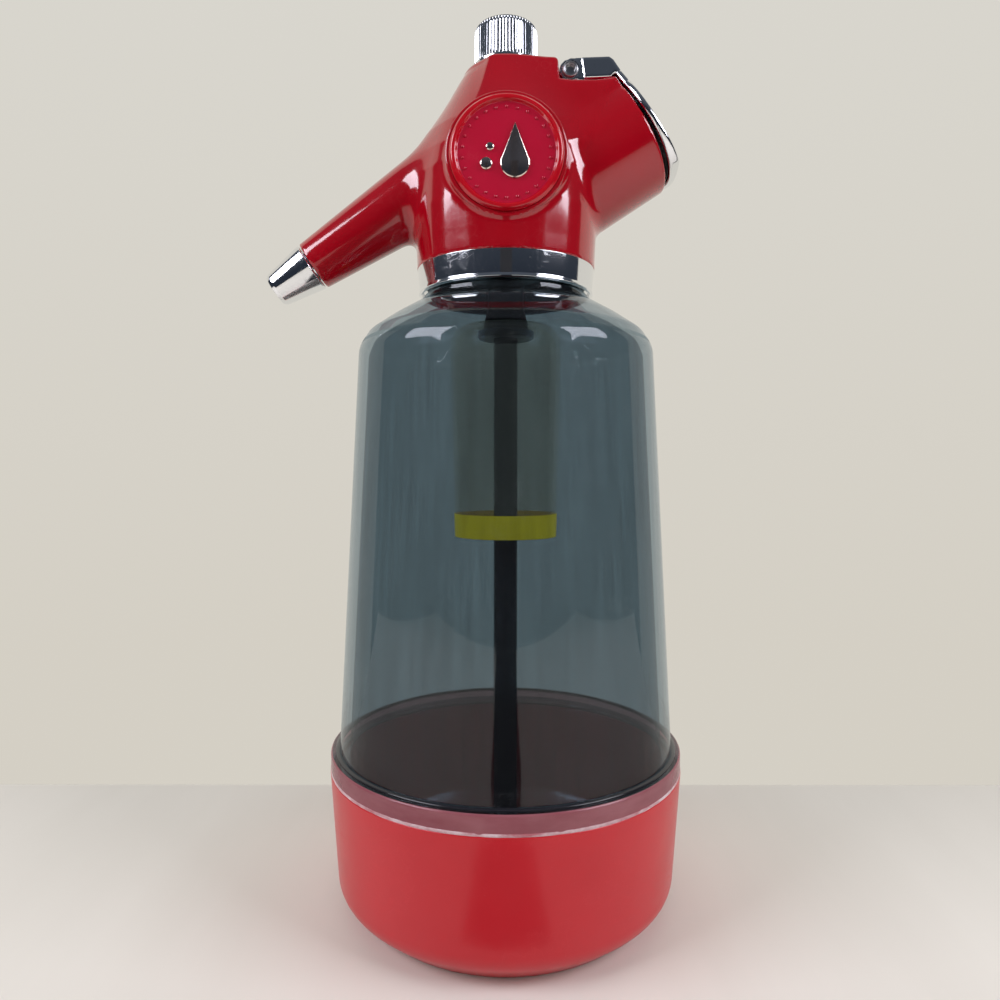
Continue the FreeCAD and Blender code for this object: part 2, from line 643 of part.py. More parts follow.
# ------------------------------------------------------------ charging stem
b = turned("charging_stem", [
    (0, 272.6), (4.0, 272.6), (4.0, 277.0), (8.9, 277.0), (8.9, 278.2), (7.7, 278.2), (7.7, 279.8), (8.9, 279.8),
    (8.9, deck - w), (stem_r, deck - w), (stem_r, stem_top - 0.5), (stem_r - 0.5, stem_top), (4.2, stem_top),
    (4.2, 293.0), (1.5, 293.0), (1.5, 274.0), (0, 274.0)])
cut_round(b, "stem_cross", 0, 275.0, 0.7, "YZ_Plane", True, 12.0)
turned("stem_oring", [(7.7, 278.2), (9.0, 278.2), (9.0, 279.8), (7.7, 279.8)])
turned("check_sleeve", [(4.0, 273.2), (5.0, 273.2), (5.0, 276.8), (4.0, 276.8)])
turned("stem_filter", [(0, 293.0), (4.15, 293.0), (4.15, 295.0), (0, 295.0)])
b = turned("piercing_pin", [(0, 295.0), (4.15, 295.0), (4.15, 296.3), (1.5, 296.3), (1.1, 298.0), (0.2, 301.0), (0, 301.0)])
cut_round(b, "pin_gas_way", 2.8, 0, 0.5, "XY_Plane", True, 700.0)
turned("stem_nut", [(stem_r + 0.02, deck), (9.9, deck), (9.9, deck + 0.9), (9.4, deck + 1.3), (stem_r + 0.02, deck + 1.3)])

# --------------------------------------------------------------------- badge
b = turned("badge_disc", [
    (0, 0), (badge_r, 0), (badge_r, 2.2), (badge_r - 0.9, 3.0), (badge_r - 1.9, 2.9), (badge_r - 2.4, 1.7), (0, 1.7)])
placed(b, (0, -badge_floor, badge_z), (1, 0, 0), 90.0)
doc.recompute()
cut_round(b, "badge_screw_hole", 0, 0, 1.25, "XY_Plane", True, 2.2)


def drop_face(h, r, tip):
    """A drop: round below, drawn to a point above."""
    d = h - r
    ang = math.acos(r / d)
    a = App.Vector(r * math.sin(ang), r * math.cos(ang), 0)
    c = App.Vector(-a.x, a.y, 0)
    top = App.Vector(0, d, 0)
    arc = Part.Arc(a, App.Vector(0, -r, 0), c).toShape()
    return Part.Face(Part.Wire([Part.LineSegment(top, a).toShape(), arc, Part.LineSegment(c, top).toShape()]))


emb = doc.addObject("Part::Feature", "badge_emblem")
d1 = drop_face(17.0, 4.6, 0).extrude(App.Vector(0, 0, 0.9))
d1.translate(App.Vector(2.6, -3.4, 0))
d2 = Part.makeCylinder(1.9, 0.8, App.Vector(-6.4, -3.6, 0))
d3 = Part.makeCylinder(1.25, 0.8, App.Vector(-5.2, 1.6, 0))
emb.Shape = Part.makeCompound([d1, d2, d3])
placed(emb, (0, -(badge_floor + 1.7), badge_z), (1, 0, 0), 90.0)
keep(emb, "badge_emblem")

b = turned("badge_screw", [(0, 0), (2.6, 0), (2.9, 0.3), (2.9, 1.6), (1.25, 1.6), (1.25, 5.1), (0, 5.1)])
placed(b, (0, -26.2, badge_z), (1, 0, 0), 90.0)

# --------------------------------------------------------------------- lever
# Built closed against the barrel, then opened about its pin.
ca, sa = math.cos(math.radians(33.1)), math.sin(math.radians(33.1))


def on_barrel(s, t):
    """A point in the middle plane: s along the barrel, t up the end plane."""
    return (s * ca + (20.5 - t) * sa, 239.5 + s * sa - (20.5 - t) * ca)


s_in = 53.3 + 0.25
s_out = s_in + 5.5
lever_side = side_pad("lever_outline", [
    (21.4, 282.9), (21.4, 290.3), (36.2, 290.3), (37.6, 289.5),
    on_barrel(s_out, 37.0), on_barrel(s_out, 3.0), on_barrel(s_out - 1.6, -1.0), on_barrel(s_in, -1.0),
    on_barrel(s_in, 38.4), (34.3, arm_low + 0.75), (33.4, arm_low), (23.0, arm_low), (22.6, 282.9)], 21.5)
lever_keel = keel_body("lever_keel", bar_r, -17.5, 14.0, 50.0, 66.0)
lever_arm_box = side_pad("lever_arm_form", [
    (19.0, 280.0), (21.0, 292.0), (45.0, 292.0), (45.0, 284.0), (33.5, 281.0)], deck_half)
lever_blank = common("lever_blank", [lever_side, fused("lever_width", [lever_keel, lever_arm_box])])
ear = cyl_obj("lever_ear", 3.6, deck_half * 2.0, (piv_x, deck_half, piv_z), (1, 0, 0), 90.0)
lever_solid = fused("lever_solid", [lever_blank, ear])
channel = side_pad("lever_channel", [
    (14.0, 280.0), (14.0, arm_top - 1.1), (31.5, arm_top - 1.1), (31.5, 280.0)], deck_half - 3.0)
lev_hole = cyl_obj("lever_hole", pin_r + 0.05, 40.0, (piv_x, 20.0, piv_z), (1, 0, 0), 90.0)
recess = keel_body("lever_recess", bar_r - lever_skin, -13.5, 9.6, 50.0, bar_end + lev_gap + 3.2)
lever_tools = fused("lever_tools", [channel, lev_hole, recess])
lever = keep(cut("lever_cut", lever_solid, lever_tools), "lever")

liner_block = keel_body("liner_block", bar_r - lever_skin - 0.1, -13.3, 9.4, bar_end + lev_gap, bar_end + lev_gap + 3.2)
liner_face = keel_body("liner_face", bar_r - w - 1.0, -12.5, 8.8, bar_end - 2.6, bar_end + lev_gap)
liner = keep(fused("lever_liner_fuse", [liner_block, liner_face]), "lever_liner")


def opened(obj):
    """Turns a closed piece open about the pivot pin by the sheet's angle."""
    a = math.radians(-2.0)
    px, pz = 21.4, 286.4
    obj.Placement = App.Placement(App.Vector(0, 0, 0), App.Rotation(App.Vector(0, 1, 0), -2.0), App.Vector(px, 0, pz))
    ea = "(0 - Dims.lever_open_angle)"
    obj.setExpression("Placement.Rotation.Angle", "Dims.lever_open_angle")
    return obj


for o in (lever, liner):
    rot = App.Rotation(App.Vector(0, -1, 0), 2.0)
    c = App.Vector(21.4, 0, 286.4)
    o.Placement = App.Placement(c - rot.multVec(c), rot)
    o.setExpression("Placement.Base.x", "Dims.pivot_x - (Dims.pivot_x * cos(Dims.lever_open_angle) - Dims.pivot_z * sin(Dims.lever_open_angle))")
    o.setExpression("Placement.Base.z", "Dims.pivot_z - (Dims.pivot_x * sin(Dims.lever_open_angle) + Dims.pivot_z * cos(Dims.lever_open_angle))")
    o.setExpression("Placement.Rotation.Angle", "Dims.lever_open_angle")

b = turned("lever_pin", [
    (0, -14.5), (2.2, -14.5), (pin_r, -14.2), (pin_r, 14.2), (2.2, 14.5), (0, 14.5)])
placed(b, (piv_x, 0, piv_z), (1, 0, 0), 90.0)
doc.recompute()
# the pin's ends are drilled hollow, as a rivet's are
for nm, off in (("pin_end_a", 14.5), ("pin_end_b", -14.5)):
    cut_round(b, nm, 0, 0, 1.7, "XY_Plane", True, 2.4, off)

# ----------------------------------------------------------------- cap
cap = turned("cap_blank", [
    (cap_bore, cap_low), (cap_r + 0.1, cap_low), (cap_r + 0.1, cap_low + 1.0), (cap_r - 0.05, cap_low + 1.3),
    (cap_r - 0.2, cap_top - 2.2), (cap_r - 1.0, cap_top - 0.7), (cap_r - 2.2, cap_top), (0, cap_top), (0, cap_top - 2.5), (cap_bore, cap_top - 2.5)], final=False)
# shallow flutes round the cap, from the plain rim to the rounded top edge
sk = cap.newObject("Sketcher::SketchObject", "flute_sketch")
sk.AttachmentSupport = [(origin_plane(cap, "XY_Plane"), "")]
sk.MapMode = "FlatFace"
sk.AttachmentOffset = App.Placement(App.Vector(0, 0, 308.0), App.Rotation())
sk.addGeometry(Part.Circle(App.Vector(11.35, 0, 0), App.Vector(0, 0, 1), 0.54), False)
sk.addConstraint(Sketcher.Constraint("Radius", 0, 0.54))
sk.addConstraint(Sketcher.Constraint("PointOnObject", 0, 3, -1))
c = sk.addConstraint(Sketcher.Constraint("DistanceX", -1, 1, 0, 3, 11.35))
sk.setExpression("Constraints[%d]" % c, "Dims.cap_radius + 0.1")
before = cap.Tip.Shape.Volume
pk = cap.newObject("PartDesign::Pocket", "flute")
pk.Profile = sk
pk.Type = 0
pk.Length = 14.4
doc.recompute()
if not cap.Tip.Shape.Volume < before - 0.01:
    pk.Reversed = True
    doc.recompute()
if not cap.Tip.Shape.Volume < before - 0.01:
    raise RuntimeError("flute cuts nothing")
one = before - cap.Tip.Shape.Volume
pp = cap.newObject("PartDesign::PolarPattern", "flutes")
pp.Originals = [pk]
pp.Axis = (sk, ["N_Axis"])
pp.Angle = 360.0
pp.Occurrences = 60
bind(pp, "Occurrences", cap_flutes)
cap.Tip = pp
doc.recompute()
if not before - cap.Tip.Shape.Volume > 50 * one:
    raise RuntimeError("flutes missing %s %s %s %s" % (one, before, cap.Tip.Shape.Volume, pp.State))
keep(cap, "charging_cap")
turned("cap_washer", [(0, stem_top), (7.3, stem_top), (7.3, cap_top - 2.5), (0, cap_top - 2.5)])

# ------------------------------------------------------------ test and write
doc.recompute()
bad = []
for o in doc.Objects:
    if "Invalid" in o.State or "Error" in o.State:
        bad.append(o.Name)
for o in PARTS:
    if o.Shape.isNull() or not o.Shape.isValid():
        bad.append("shape of " + o.Label)
if bad:
    raise RuntimeError("not sound: " + ", ".join(bad))

os.makedirs("parts", exist_ok=True)
for o in PARTS:
    o.Shape.exportStep(os.path.join("parts", o.Label + ".step"))
    bb = o.Shape.BoundBox
    print("%-16s solids %d  vol %10.1f  x %.1f..%.1f y %.1f..%.1f z %.1f..%.1f" % (
        o.Label, len(o.Shape.Solids), o.Shape.Volume, bb.XMin, bb.XMax, bb.YMin, bb.YMax, bb.ZMin, bb.ZMax))
print("nodes", len(PARTS))
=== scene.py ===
import math
import bpy
import numpy as np
from mathutils import Vector, Matrix


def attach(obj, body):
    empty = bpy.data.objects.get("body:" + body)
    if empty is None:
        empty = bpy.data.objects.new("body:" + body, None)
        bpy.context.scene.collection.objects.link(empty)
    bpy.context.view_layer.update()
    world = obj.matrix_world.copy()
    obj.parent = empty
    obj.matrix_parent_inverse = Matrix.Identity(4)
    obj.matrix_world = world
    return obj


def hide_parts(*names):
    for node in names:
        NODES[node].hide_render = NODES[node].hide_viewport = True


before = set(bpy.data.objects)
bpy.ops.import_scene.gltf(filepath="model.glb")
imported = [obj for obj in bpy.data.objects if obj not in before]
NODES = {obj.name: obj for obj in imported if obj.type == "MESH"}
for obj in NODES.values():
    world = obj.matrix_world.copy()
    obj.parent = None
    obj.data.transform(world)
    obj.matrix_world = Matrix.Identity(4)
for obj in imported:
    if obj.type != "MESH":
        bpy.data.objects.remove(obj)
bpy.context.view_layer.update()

MM = 0.001
scene = bpy.context.scene

CA, SA = math.cos(math.radians(33.1)), math.sin(math.radians(33.1))     # barrel
CB, SB = math.cos(math.radians(33.0)), math.sin(math.radians(33.0))     # spout

# ------------------------------------------------------------------ materials


class Mat:
    """A small helper round one node tree."""

    def __init__(self, name):
        self.m = bpy.data.materials.new(name)
        self.m.use_nodes = True
        self.t = self.m.node_tree
        self.t.nodes.clear()
        self.out = self.t.nodes.new("ShaderNodeOutputMaterial")
        self.tc = self.t.nodes.new("ShaderNodeTexCoord")

    def n(self, kind, **kw):
        node = self.t.nodes.new(kind)
        ins = kw.pop("ins", {})
        for k, v in kw.items():
            setattr(node, k, v)
        for k, v in ins.items():
            if hasattr(v, "is_output") or isinstance(v, bpy.types.NodeSocket):
                self.t.links.new(v, node.inputs[k])
            else:
                node.inputs[k].default_value = v
        return node

    def link(self, a, b):
        self.t.links.new(a, b)

    def coords(self, scale=(1, 1, 1)):
        return self.n("ShaderNodeMapping", ins={"Vector": self.tc.outputs["Object"], "Scale": scale}).outputs["Vector"]

    def noise(self, scale, detail=4.0, rough=0.55, stretch=(1, 1, 1), distortion=0.0):
        return self.n("ShaderNodeTexNoise", ins={"Vector": self.coords(stretch), "Scale": scale, "Detail": detail,
                                                 "Roughness": rough, "Distortion": distortion}).outputs["Fac"]

    def ramp(self, fac, stops, interp="LINEAR"):
        r = self.n("ShaderNodeValToRGB", ins={"Fac": fac})
        r.color_ramp.interpolation = interp
        e = r.color_ramp.elements
        while len(e) < len(stops):
            e.new(0.5)
        for i, (p, c) in enumerate(stops):
            e[i].position = p
            e[i].color = (c, c, c, 1) if not isinstance(c, (tuple, list)) else tuple(c) + (1,)
        return r.outputs["Color"]

    def maths(self, op, a, b=0.0, clamp=False):
        nd = self.n("ShaderNodeMath", operation=op, use_clamp=clamp)
        for i, v in enumerate((a, b)):
            if isinstance(v, bpy.types.NodeSocket):
                self.link(v, nd.inputs[i])
            else:
                nd.inputs[i].default_value = v
        return nd.outputs[0]

    def mix(self, fac, a, b):
        nd = self.n("ShaderNodeMix", data_type="RGBA")
        for k, v in ((0, fac), (6, a), (7, b)):
            if isinstance(v, bpy.types.NodeSocket):
                self.link(v, nd.inputs[k])
            else:
                nd.inputs[k].default_value = v if k == 0 else tuple(v) + (1,)
        return nd.outputs[2]

    def bump(self, height, strength=0.2, distance=0.0002, normal=None):
        b = self.n("ShaderNodeBump", ins={"Height": height, "Strength": strength, "Distance": distance})
        if normal is not None:
            self.link(normal, b.inputs["Normal"])
        return b.outputs["Normal"]

    def scratches(self, scale=220.0, width=0.02, seed=0.0):
        """Thin stray lines: the narrow crossings of a stretched, warped noise."""
        total = None
        for k, ang in enumerate((0.35, 1.25, 2.3)):
            mp = self.n("ShaderNodeMapping", ins={"Vector": self.tc.outputs["Object"], "Rotation": (0.4 * k + seed, ang + seed, 0.3 + k),
                                                  "Scale": (1.0, 0.06, 1.0)})
            nz = self.n("ShaderNodeTexNoise", ins={"Vector": mp.outputs["Vector"], "Scale": scale, "Detail": 1.0, "Roughness": 0.4})
            d = self.maths("ABSOLUTE", self.maths("SUBTRACT", nz.outputs["Fac"], 0.5))
            line = self.maths("SUBTRACT", 1.0, self.maths("DIVIDE", d, width), clamp=True)
            total = line if total is None else self.maths("MAXIMUM", total, line)
        gate = self.maths("GREATER_THAN", self.noise(30.0 + seed, 2.0), 0.56)
        return self.maths("MULTIPLY", total, gate)

    def principled(self, **ins):
        p = self.n("ShaderNodeBsdfPrincipled")
        for k, v in ins.items():
            k = k.replace("_", " ")
            if isinstance(v, bpy.types.NodeSocket):
                self.link(v, p.inputs[k])
            else:
                p.inputs[k].default_value = (tuple(v) + (1,)) if isinstance(v, tuple) and len(v) == 3 else v
        return p

    def done(self, shader):
        self.link(shader, self.out.inputs["Surface"])
        return self.m


def gloss_red(name, deep, light, rough, scratch, coat, rough_var=0.06, seed=0.0, bump=0.12):
    m = Mat(name)
    cloud = m.noise(38.0, 5.0)
    col = m.mix(m.ramp(cloud, [(0.3, 0.0), (0.7, 1.0)]), deep, light)
    s = m.scratches(210.0, 0.012, seed)
    dust = m.ramp(m.noise(2600.0, 2.0), [(0.70, 0.0), (0.76, 1.0)])
    marks = m.maths("MULTIPLY", s, scratch)
    col = m.mix(marks, col, tuple(min(1.0, c * 1.5 + 0.10) for c in light))
    col = m.mix(m.maths("MULTIPLY", dust, 0.05), col, (0.75, 0.6, 0.58))
    r = m.maths("ADD", rough, m.maths("MULTIPLY", m.maths("SUBTRACT", m.noise(90.0, 6.0), 0.5), rough_var * 2))
    r = m.maths("ADD", r, m.maths("MULTIPLY", s, 0.05), clamp=True)
    h = m.maths("ADD", m.maths("MULTIPLY", m.noise(55.0, 2.0), 1.0), m.maths("MULTIPLY", s, -0.06))
    nrm = m.bump(h, bump, 0.0003)
    p = m.principled(Base_Color=col, Roughness=r, Normal=nrm, IOR=1.5)
    p.inputs["Coat Weight"].default_value = coat
    p.inputs["Coat Roughness"].default_value = 0.05
    return m.done(p.outputs[0])


def chrome(name, tint=(0.86, 0.87, 0.89), rough=0.045, pits=0.5, seed=0.0, pit_scale=420.0):
    m = Mat(name)
    speck = m.ramp(m.noise(pit_scale, 6.0, 0.7), [(0.62, 0.0), (0.68, 1.0)])
    area = m.ramp(m.noise(60.0, 3.0), [(0.45, 0.0), (0.65, 1.0)])
    pit = m.maths("MULTIPLY", m.maths("MULTIPLY", speck, area), pits)
    s = m.scratches(260.0, 0.010, seed)
    col = m.mix(pit, tint, (0.16, 0.14, 0.12))
    r = m.maths("ADD", rough, m.maths("MULTIPLY", m.noise(120.0, 5.0), 0.05))
    r = m.maths("ADD", r, m.maths("MULTIPLY", m.maths("ADD", m.maths("MULTIPLY", pit, 0.5), m.maths("MULTIPLY", s, 0.10)), 1.0), clamp=True)
    h = m.maths("SUBTRACT", m.maths("MULTIPLY", m.noise(70.0, 2.0), 0.5), m.maths("MULTIPLY", pit, 0.8))
    p = m.principled(Base_Color=col, Roughness=r, Normal=m.bump(h, 0.10, 0.0002))
    p.inputs["Metallic"].default_value = 1.0
    return m.done(p.outputs[0])


def metal(name, tint, rough, seed=0.0, turned=True):
    m = Mat(name)
    rings = m.noise(900.0, 2.0, 0.6, (0.08, 0.08, 1.0) if turned else (1, 1, 1))
    stain = m.noise(70.0, 5.0)
    col = m.mix(m.ramp(stain, [(0.35, 0.0), (0.75, 1.0)]), tint, tuple(c * 0.72 for c in tint))
    r = m.maths("ADD", rough, m.maths("MULTIPLY", rings, 0.14), clamp=True)
    p = m.principled(Base_Color=col, Roughness=r, Normal=m.bump(rings, 0.18, 0.0001))
    p.inputs["Metallic"].default_value = 1.0
    return m.done(p.outputs[0])


def plastic(name, tint, rough, gloss_var=0.1, bump=0.15, grain=1400.0):
    m = Mat(name)
    c = m.noise(60.0, 4.0)
    col = m.mix(m.ramp(c, [(0.3, 0.0), (0.75, 1.0)]), tint, tuple(min(1.0, k * 1.35 + 0.004) for k in tint))
    r = m.maths("ADD", rough, m.maths("MULTIPLY", m.maths("SUBTRACT", m.noise(110.0, 5.0), 0.5), gloss_var), clamp=True)
    g = m.maths("ADD", m.maths("MULTIPLY", m.noise(grain, 2.0), 0.4), m.noise(60.0, 2.0))
    p = m.principled(Base_Color=col, Roughness=r, Normal=m.bump(g, bump, 0.0002))
    return m.done(p.outputs[0])


def smoke(name, tint, gloss, rough=0.02, wear=0.0, edge=1.0, f0=0.045, haze=0.0, film_col=(0.50, 0.55, 0.58)):
    """Tinted clear wall: light goes straight through a tint, and the face
    mirrors more the more it is seen edge on."""
    m = Mat(name)
    lw = m.n("ShaderNodeLayerWeight", ins={"Blend": 0.5})
    f = lw.outputs["Facing"]
    f5 = m.maths("POWER", f, 5.0)
    fres = m.maths("ADD", m.maths("MULTIPLY", f5, (1.0 - f0) * gloss), f0 * gloss, clamp=True)
    dark = m.maths("MULTIPLY", m.maths("POWER", f, 3.0), edge, clamp=True)
    streak = m.noise(300.0, 5.0, 0.7, (1.0, 1.0, 0.02))
    base = m.mix(m.ramp(streak, [(0.32, 0.0), (0.68, 1.0)]), tuple(min(1.0, c * 1.06) for c in tint), tuple(c * 0.90 for c in tint))
    col = m.mix(dark, base, tuple(c * c for c in tint))
    tr = m.n("ShaderNodeBsdfTransparent", ins={"Color": col})
    s = m.scratches(190.0, 0.009, 0.7)
    r = m.maths("ADD", rough, m.maths("MULTIPLY", m.noise(80.0, 4.0), 0.03))
    h = m.maths("ADD", m.noise(34.0, 2.0), m.maths("MULTIPLY", s, -0.3))
    gl = m.principled(Base_Color=(0.95, 0.97, 1.0), Roughness=r, Normal=m.bump(h, 0.08, 0.0003))
    gl.inputs["Metallic"].default_value = 1.0
    mx = m.n("ShaderNodeMixShader", ins={0: fres, 1: tr.outputs[0], 2: gl.outputs[0]})
    last = mx.outputs[0]
    if wear or haze:
        df = m.principled(Base_Color=film_col, Roughness=0.5)
        film = m.maths("MULTIPLY", m.maths("ADD", 0.5, m.maths("MULTIPLY", m.noise(170.0, 4.0, 0.65, (1.0, 1.0, 0.05)), 1.0)), haze)
        marks = m.maths("MAXIMUM", m.maths("MULTIPLY", s, wear), film, clamp=True)
        mx2 = m.n("ShaderNodeMixShader", ins={0: marks, 1: last, 2: df.outputs[0]})
        last = mx2.outputs[0]
    return m.done(last)


M = {}
M["head_red"] = gloss_red("head_red_gloss", (0.315, 0.0006, 0.006), (0.36, 0.001, 0.008), 0.12, 0.05, 0.6, seed=0.0)
M["cup_red"] = gloss_red("cup_red_satin", (0.50, 0.006, 0.014), (0.54, 0.009, 0.018), 0.31, 0.05, 0.08, 0.06, 0.5, 0.05)
M["badge_red"] = gloss_red("badge_crimson", (0.40, 0.001, 0.022), (0.46, 0.0015, 0.028), 0.20, 0.04, 0.3, 0.06, 0.9)
M["rim_red"] = gloss_red("badge_rim_red", (0.42, 0.001, 0.008), (0.46, 0.002, 0.010), 0.14, 0.10, 0.5, 0.06, 1.4)
M["chrome"] = chrome("bright_chrome", pits=0.35)
M["collar_chrome"] = chrome("collar_chrome", pits=0.85, pit_scale=520.0, seed=0.3)
M["cap_chrome"] = chrome("cap_chrome", pits=0.9, rough=0.09, pit_scale=700.0, seed=0.8)
M["lever_chrome"] = chrome("lever_chrome", pits=0.30, seed=1.2)
M["emblem_chrome"] = chrome("emblem_worn_chrome", (0.80, 0.66, 0.60), 0.12, 0.8, 0.2, 900.0)
M["brass"] = metal("turned_brass", (0.66, 0.46, 0.18), 0.22)
M["steel"] = metal("turned_steel", (0.55, 0.55, 0.56), 0.24)
M["spring_steel"] = metal("spring_wire", (0.50, 0.50, 0.52), 0.3, turned=False)
M["black"] = plastic("black_moulding", (0.012, 0.012, 0.015), 0.32)
M["tube_black"] = plastic("dark_tube", (0.006, 0.006, 0.009), 0.22, 0.06)
M["rubber"] = plastic("black_rubber", (0.018, 0.018, 0.018), 0.62, 0.15, 0.3, 900.0)
M["white"] = plastic("white_moulding", (0.62, 0.61, 0.57), 0.42)
M["smoke_out"] = smoke("smoke_outer_face", (0.545, 0.615, 0.655), 0.75, 0.02, wear=0.05, haze=0.010, edge=0.12)
M["smoke_in"] = smoke("smoke_inner_face", (0.58, 0.645, 0.68), 0.18, 0.05, edge=0.15)
M["bottom_smoke"] = smoke("smoke_bottom", (0.80, 0.80, 0.81), 0.4, 0.05, edge=0.2)
M["tube_out"] = smoke("clear_tube_outer", (0.995, 0.975, 0.925), 1.0, 0.03, edge=0.8, haze=0.14, film_col=(0.80, 0.68, 0.48))
M["tube_in"] = smoke("clear_tube_inner", (0.995, 0.975, 0.925), 0.3, 0.05, edge=0.3, haze=0.02, film_col=(0.92, 0.80, 0.60))
# near-black glossy plastic whose black is painted shade: the dark line along the crease where the wall meets the ledge
M["bead"] = plastic("ledge_crease_shade_bead", (0.010, 0.010, 0.013), 0.06, 0.04, 0.25, 260.0)


def band_mat():
    m = Mat("yellow_print_painted_glow")
    worn = m.ramp(m.noise(420.0, 5.0, 0.6), [(0.36, 1.0), (0.44, 0.0)])
    col = m.mix(m.ramp(m.noise(80.0, 3.0), [(0.3, 0.0), (0.7, 1.0)]), (0.95, 0.70, 0.010), (0.84, 0.61, 0.010))
    p = m.principled(Base_Color=col, Roughness=0.45, Normal=m.bump(m.noise(500.0, 2.0), 0.1, 0.0001))
    # painted glow: the emission makes the yellow print shine a little of its own, brighter than the lamps alone light
    # it
    p.inputs["Emission Color"].default_value = (0.95, 0.66, 0.01, 1)
    p.inputs["Emission Strength"].default_value = 0.16
    return m.done(p.outputs[0])


def glue_mat():
    m = Mat("weld_line")
    fac = m.ramp(m.noise(95.0, 6.0, 0.7, (1, 1, 2.2)), [(0.35, 0.0), (0.62, 1.0)])
    col = m.mix(fac, (0.40, 0.12, 0.14), (0.66, 0.52, 0.54))
    p = m.principled(Base_Color=col, Roughness=0.35, Normal=m.bump(m.noise(300.0, 4.0), 0.5, 0.0003))
    return m.done(p.outputs[0])


def flange_mat():
    """Clear edge of the wall over the cup's red: half see-through, with the red cup's light painted in as a reddish
    colour and a pink see-through tint.
    """
    m = Mat("flange_edge_painted_cup_light")
    streak = m.noise(30.0, 5.0, 0.6, (1.0, 1.0, 3.0))
    # painted light: this maroon colour and the pink tint below stand in for the red cup's light showing through the
    # clear smoke flange
    col = m.mix(m.ramp(streak, [(0.3, 0.0), (0.7, 1.0)]), (0.30, 0.07, 0.09), (0.42, 0.15, 0.17))
    p = m.principled(Base_Color=col, Roughness=0.16, Normal=m.bump(m.noise(120.0, 3.0), 0.1, 0.0002))
    tr = m.n("ShaderNodeBsdfTransparent", ins={"Color": (0.75, 0.45, 0.48, 1)})
    mx = m.n("ShaderNodeMixShader", ins={0: 0.72, 1: tr.outputs[0], 2: p.outputs[0]})
    return m.done(mx.outputs[0])


M["flange_painted_cup_light"] = flange_mat()
M["band"] = band_mat()
M["glue"] = glue_mat()

# --------------------------------------------------------------- mesh helpers


def finish_mesh(name, verts, faces, mats, body, nodes=(), sharp=None, face_mat=None):
    me = bpy.data.meshes.new(name)
    me.from_pydata([tuple(v) for v in verts], [], [tuple(int(k) for k in f) for f in faces])
    me.update()
    ob = bpy.data.objects.new(name, me)
    scene.collection.objects.link(ob)
    for mt in mats:
        me.materials.append(M[mt])
    if face_mat is not None:
        me.polygons.foreach_set("material_index", np.asarray(face_mat, dtype=np.int32))
    me.polygons.foreach_set("use_smooth", np.ones(len(me.polygons), dtype=bool))
    if sharp is not None:
        me.set_sharp_from_angle(angle=math.radians(sharp))
    me.update()
    if nodes:
        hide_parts(*nodes)
    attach(ob, body)
    return ob


def rounded(pts, steps=6):
    """Outline with corners rounded: a point is (a, b) or (a, b, radius)."""
    out = []
    n = len(pts)
    for i, p in enumerate(pts):
        if len(p) == 2 or p[2] <= 0:
            out.append((p[0], p[1]))
            continue
        P = np.array(p[:2], float)
        A = np.array(pts[i - 1][:2], float) - P
        B = np.array(pts[(i + 1) % n][:2], float) - P
        la, lb = np.linalg.norm(A), np.linalg.norm(B)
        A, B = A / la, B / lb
        ang = math.acos(max(-1, min(1, float(A @ B))))
        t = p[2] / math.tan(ang / 2)
        t = min(t, la * 0.48, lb * 0.48)
        r = t * math.tan(ang / 2)
        bis = (A + B) / np.linalg.norm(A + B)
        c = P + bis * (r / math.sin(ang / 2))
        a0 = P + A * t - c
        b0 = P + B * t - c
        th = math.acos(max(-1, min(1, float(a0 @ b0) / (r * r))))
        for k in range(steps + 1):
            f = k / steps
            v = (math.sin((1 - f) * th) * a0 + math.sin(f * th) * b0) / math.sin(th)
            out.append(tuple(c + v))
    return out


def densify(pts, step, closed=True):
    out = []
    n = len(pts)
    for i in range(n if closed else n - 1):
        a = np.array(pts[i], float)
        b = np.array(pts[(i + 1) % n], float)
        k = max(1, int(np.linalg.norm(b - a) / step))
        for j in range(k):
            out.append(tuple(a + (b - a) * j / k))
    if not closed:
        out.append(tuple(pts[-1]))
    return out


def lathe(name, pts, mats, body, nodes=(), segs=192, place=None, sharp=32, pick=None, wobble=None, step=None):
    """Turns a closed outline (r, z in mm) about Z into a closed mesh."""
    out = rounded(pts)
    if step:
        out = densify(out, step)
    axis = [k for k, p in enumerate(out) if p[0] < 1e-6]
    verts, ring = [], []
    for r, z in out:
        if r < 1e-6:
            ring.append([len(verts)] * segs)
            verts.append((0, 0, z))
        else:
            start = len(verts)
            ring.append([start + k for k in range(segs)])
            for k in range(segs):
                th = 2 * math.pi * k / segs
                rr = r if wobble is None else wobble(r, z, th)
                verts.append((rr * math.cos(th), rr * math.sin(th), z))
    area = sum(out[i][0] * out[(i + 1) % len(out)][1] - out[(i + 1) % len(out)][0] * out[i][1] for i in range(len(out)))
    faces, fm = [], []
    for i in range(len(out)):
        j = (i + 1) % len(out)
        if out[i][0] < 1e-6 and out[j][0] < 1e-6:
            continue
        for k in range(segs):
            l = (k + 1) % segs
            f = [ring[i][k], ring[i][l], ring[j][l], ring[j][k]]
            f = [v for q, v in enumerate(f) if v not in f[:q]]
            if area < 0:
                f = f[::-1]
            faces.append(f)
            if pick:
                fm.append(pick((out[i][0] + out[j][0]) / 2, (out[i][1] + out[j][1]) / 2, out[j][0] - out[i][0], out[j][1] - out[i][1]))
    v = np.array(verts, float) * MM
    if place is not None:
        v = place(v)
    return finish_mesh(name, v, faces, mats, body, nodes, sharp, fm if pick else None)


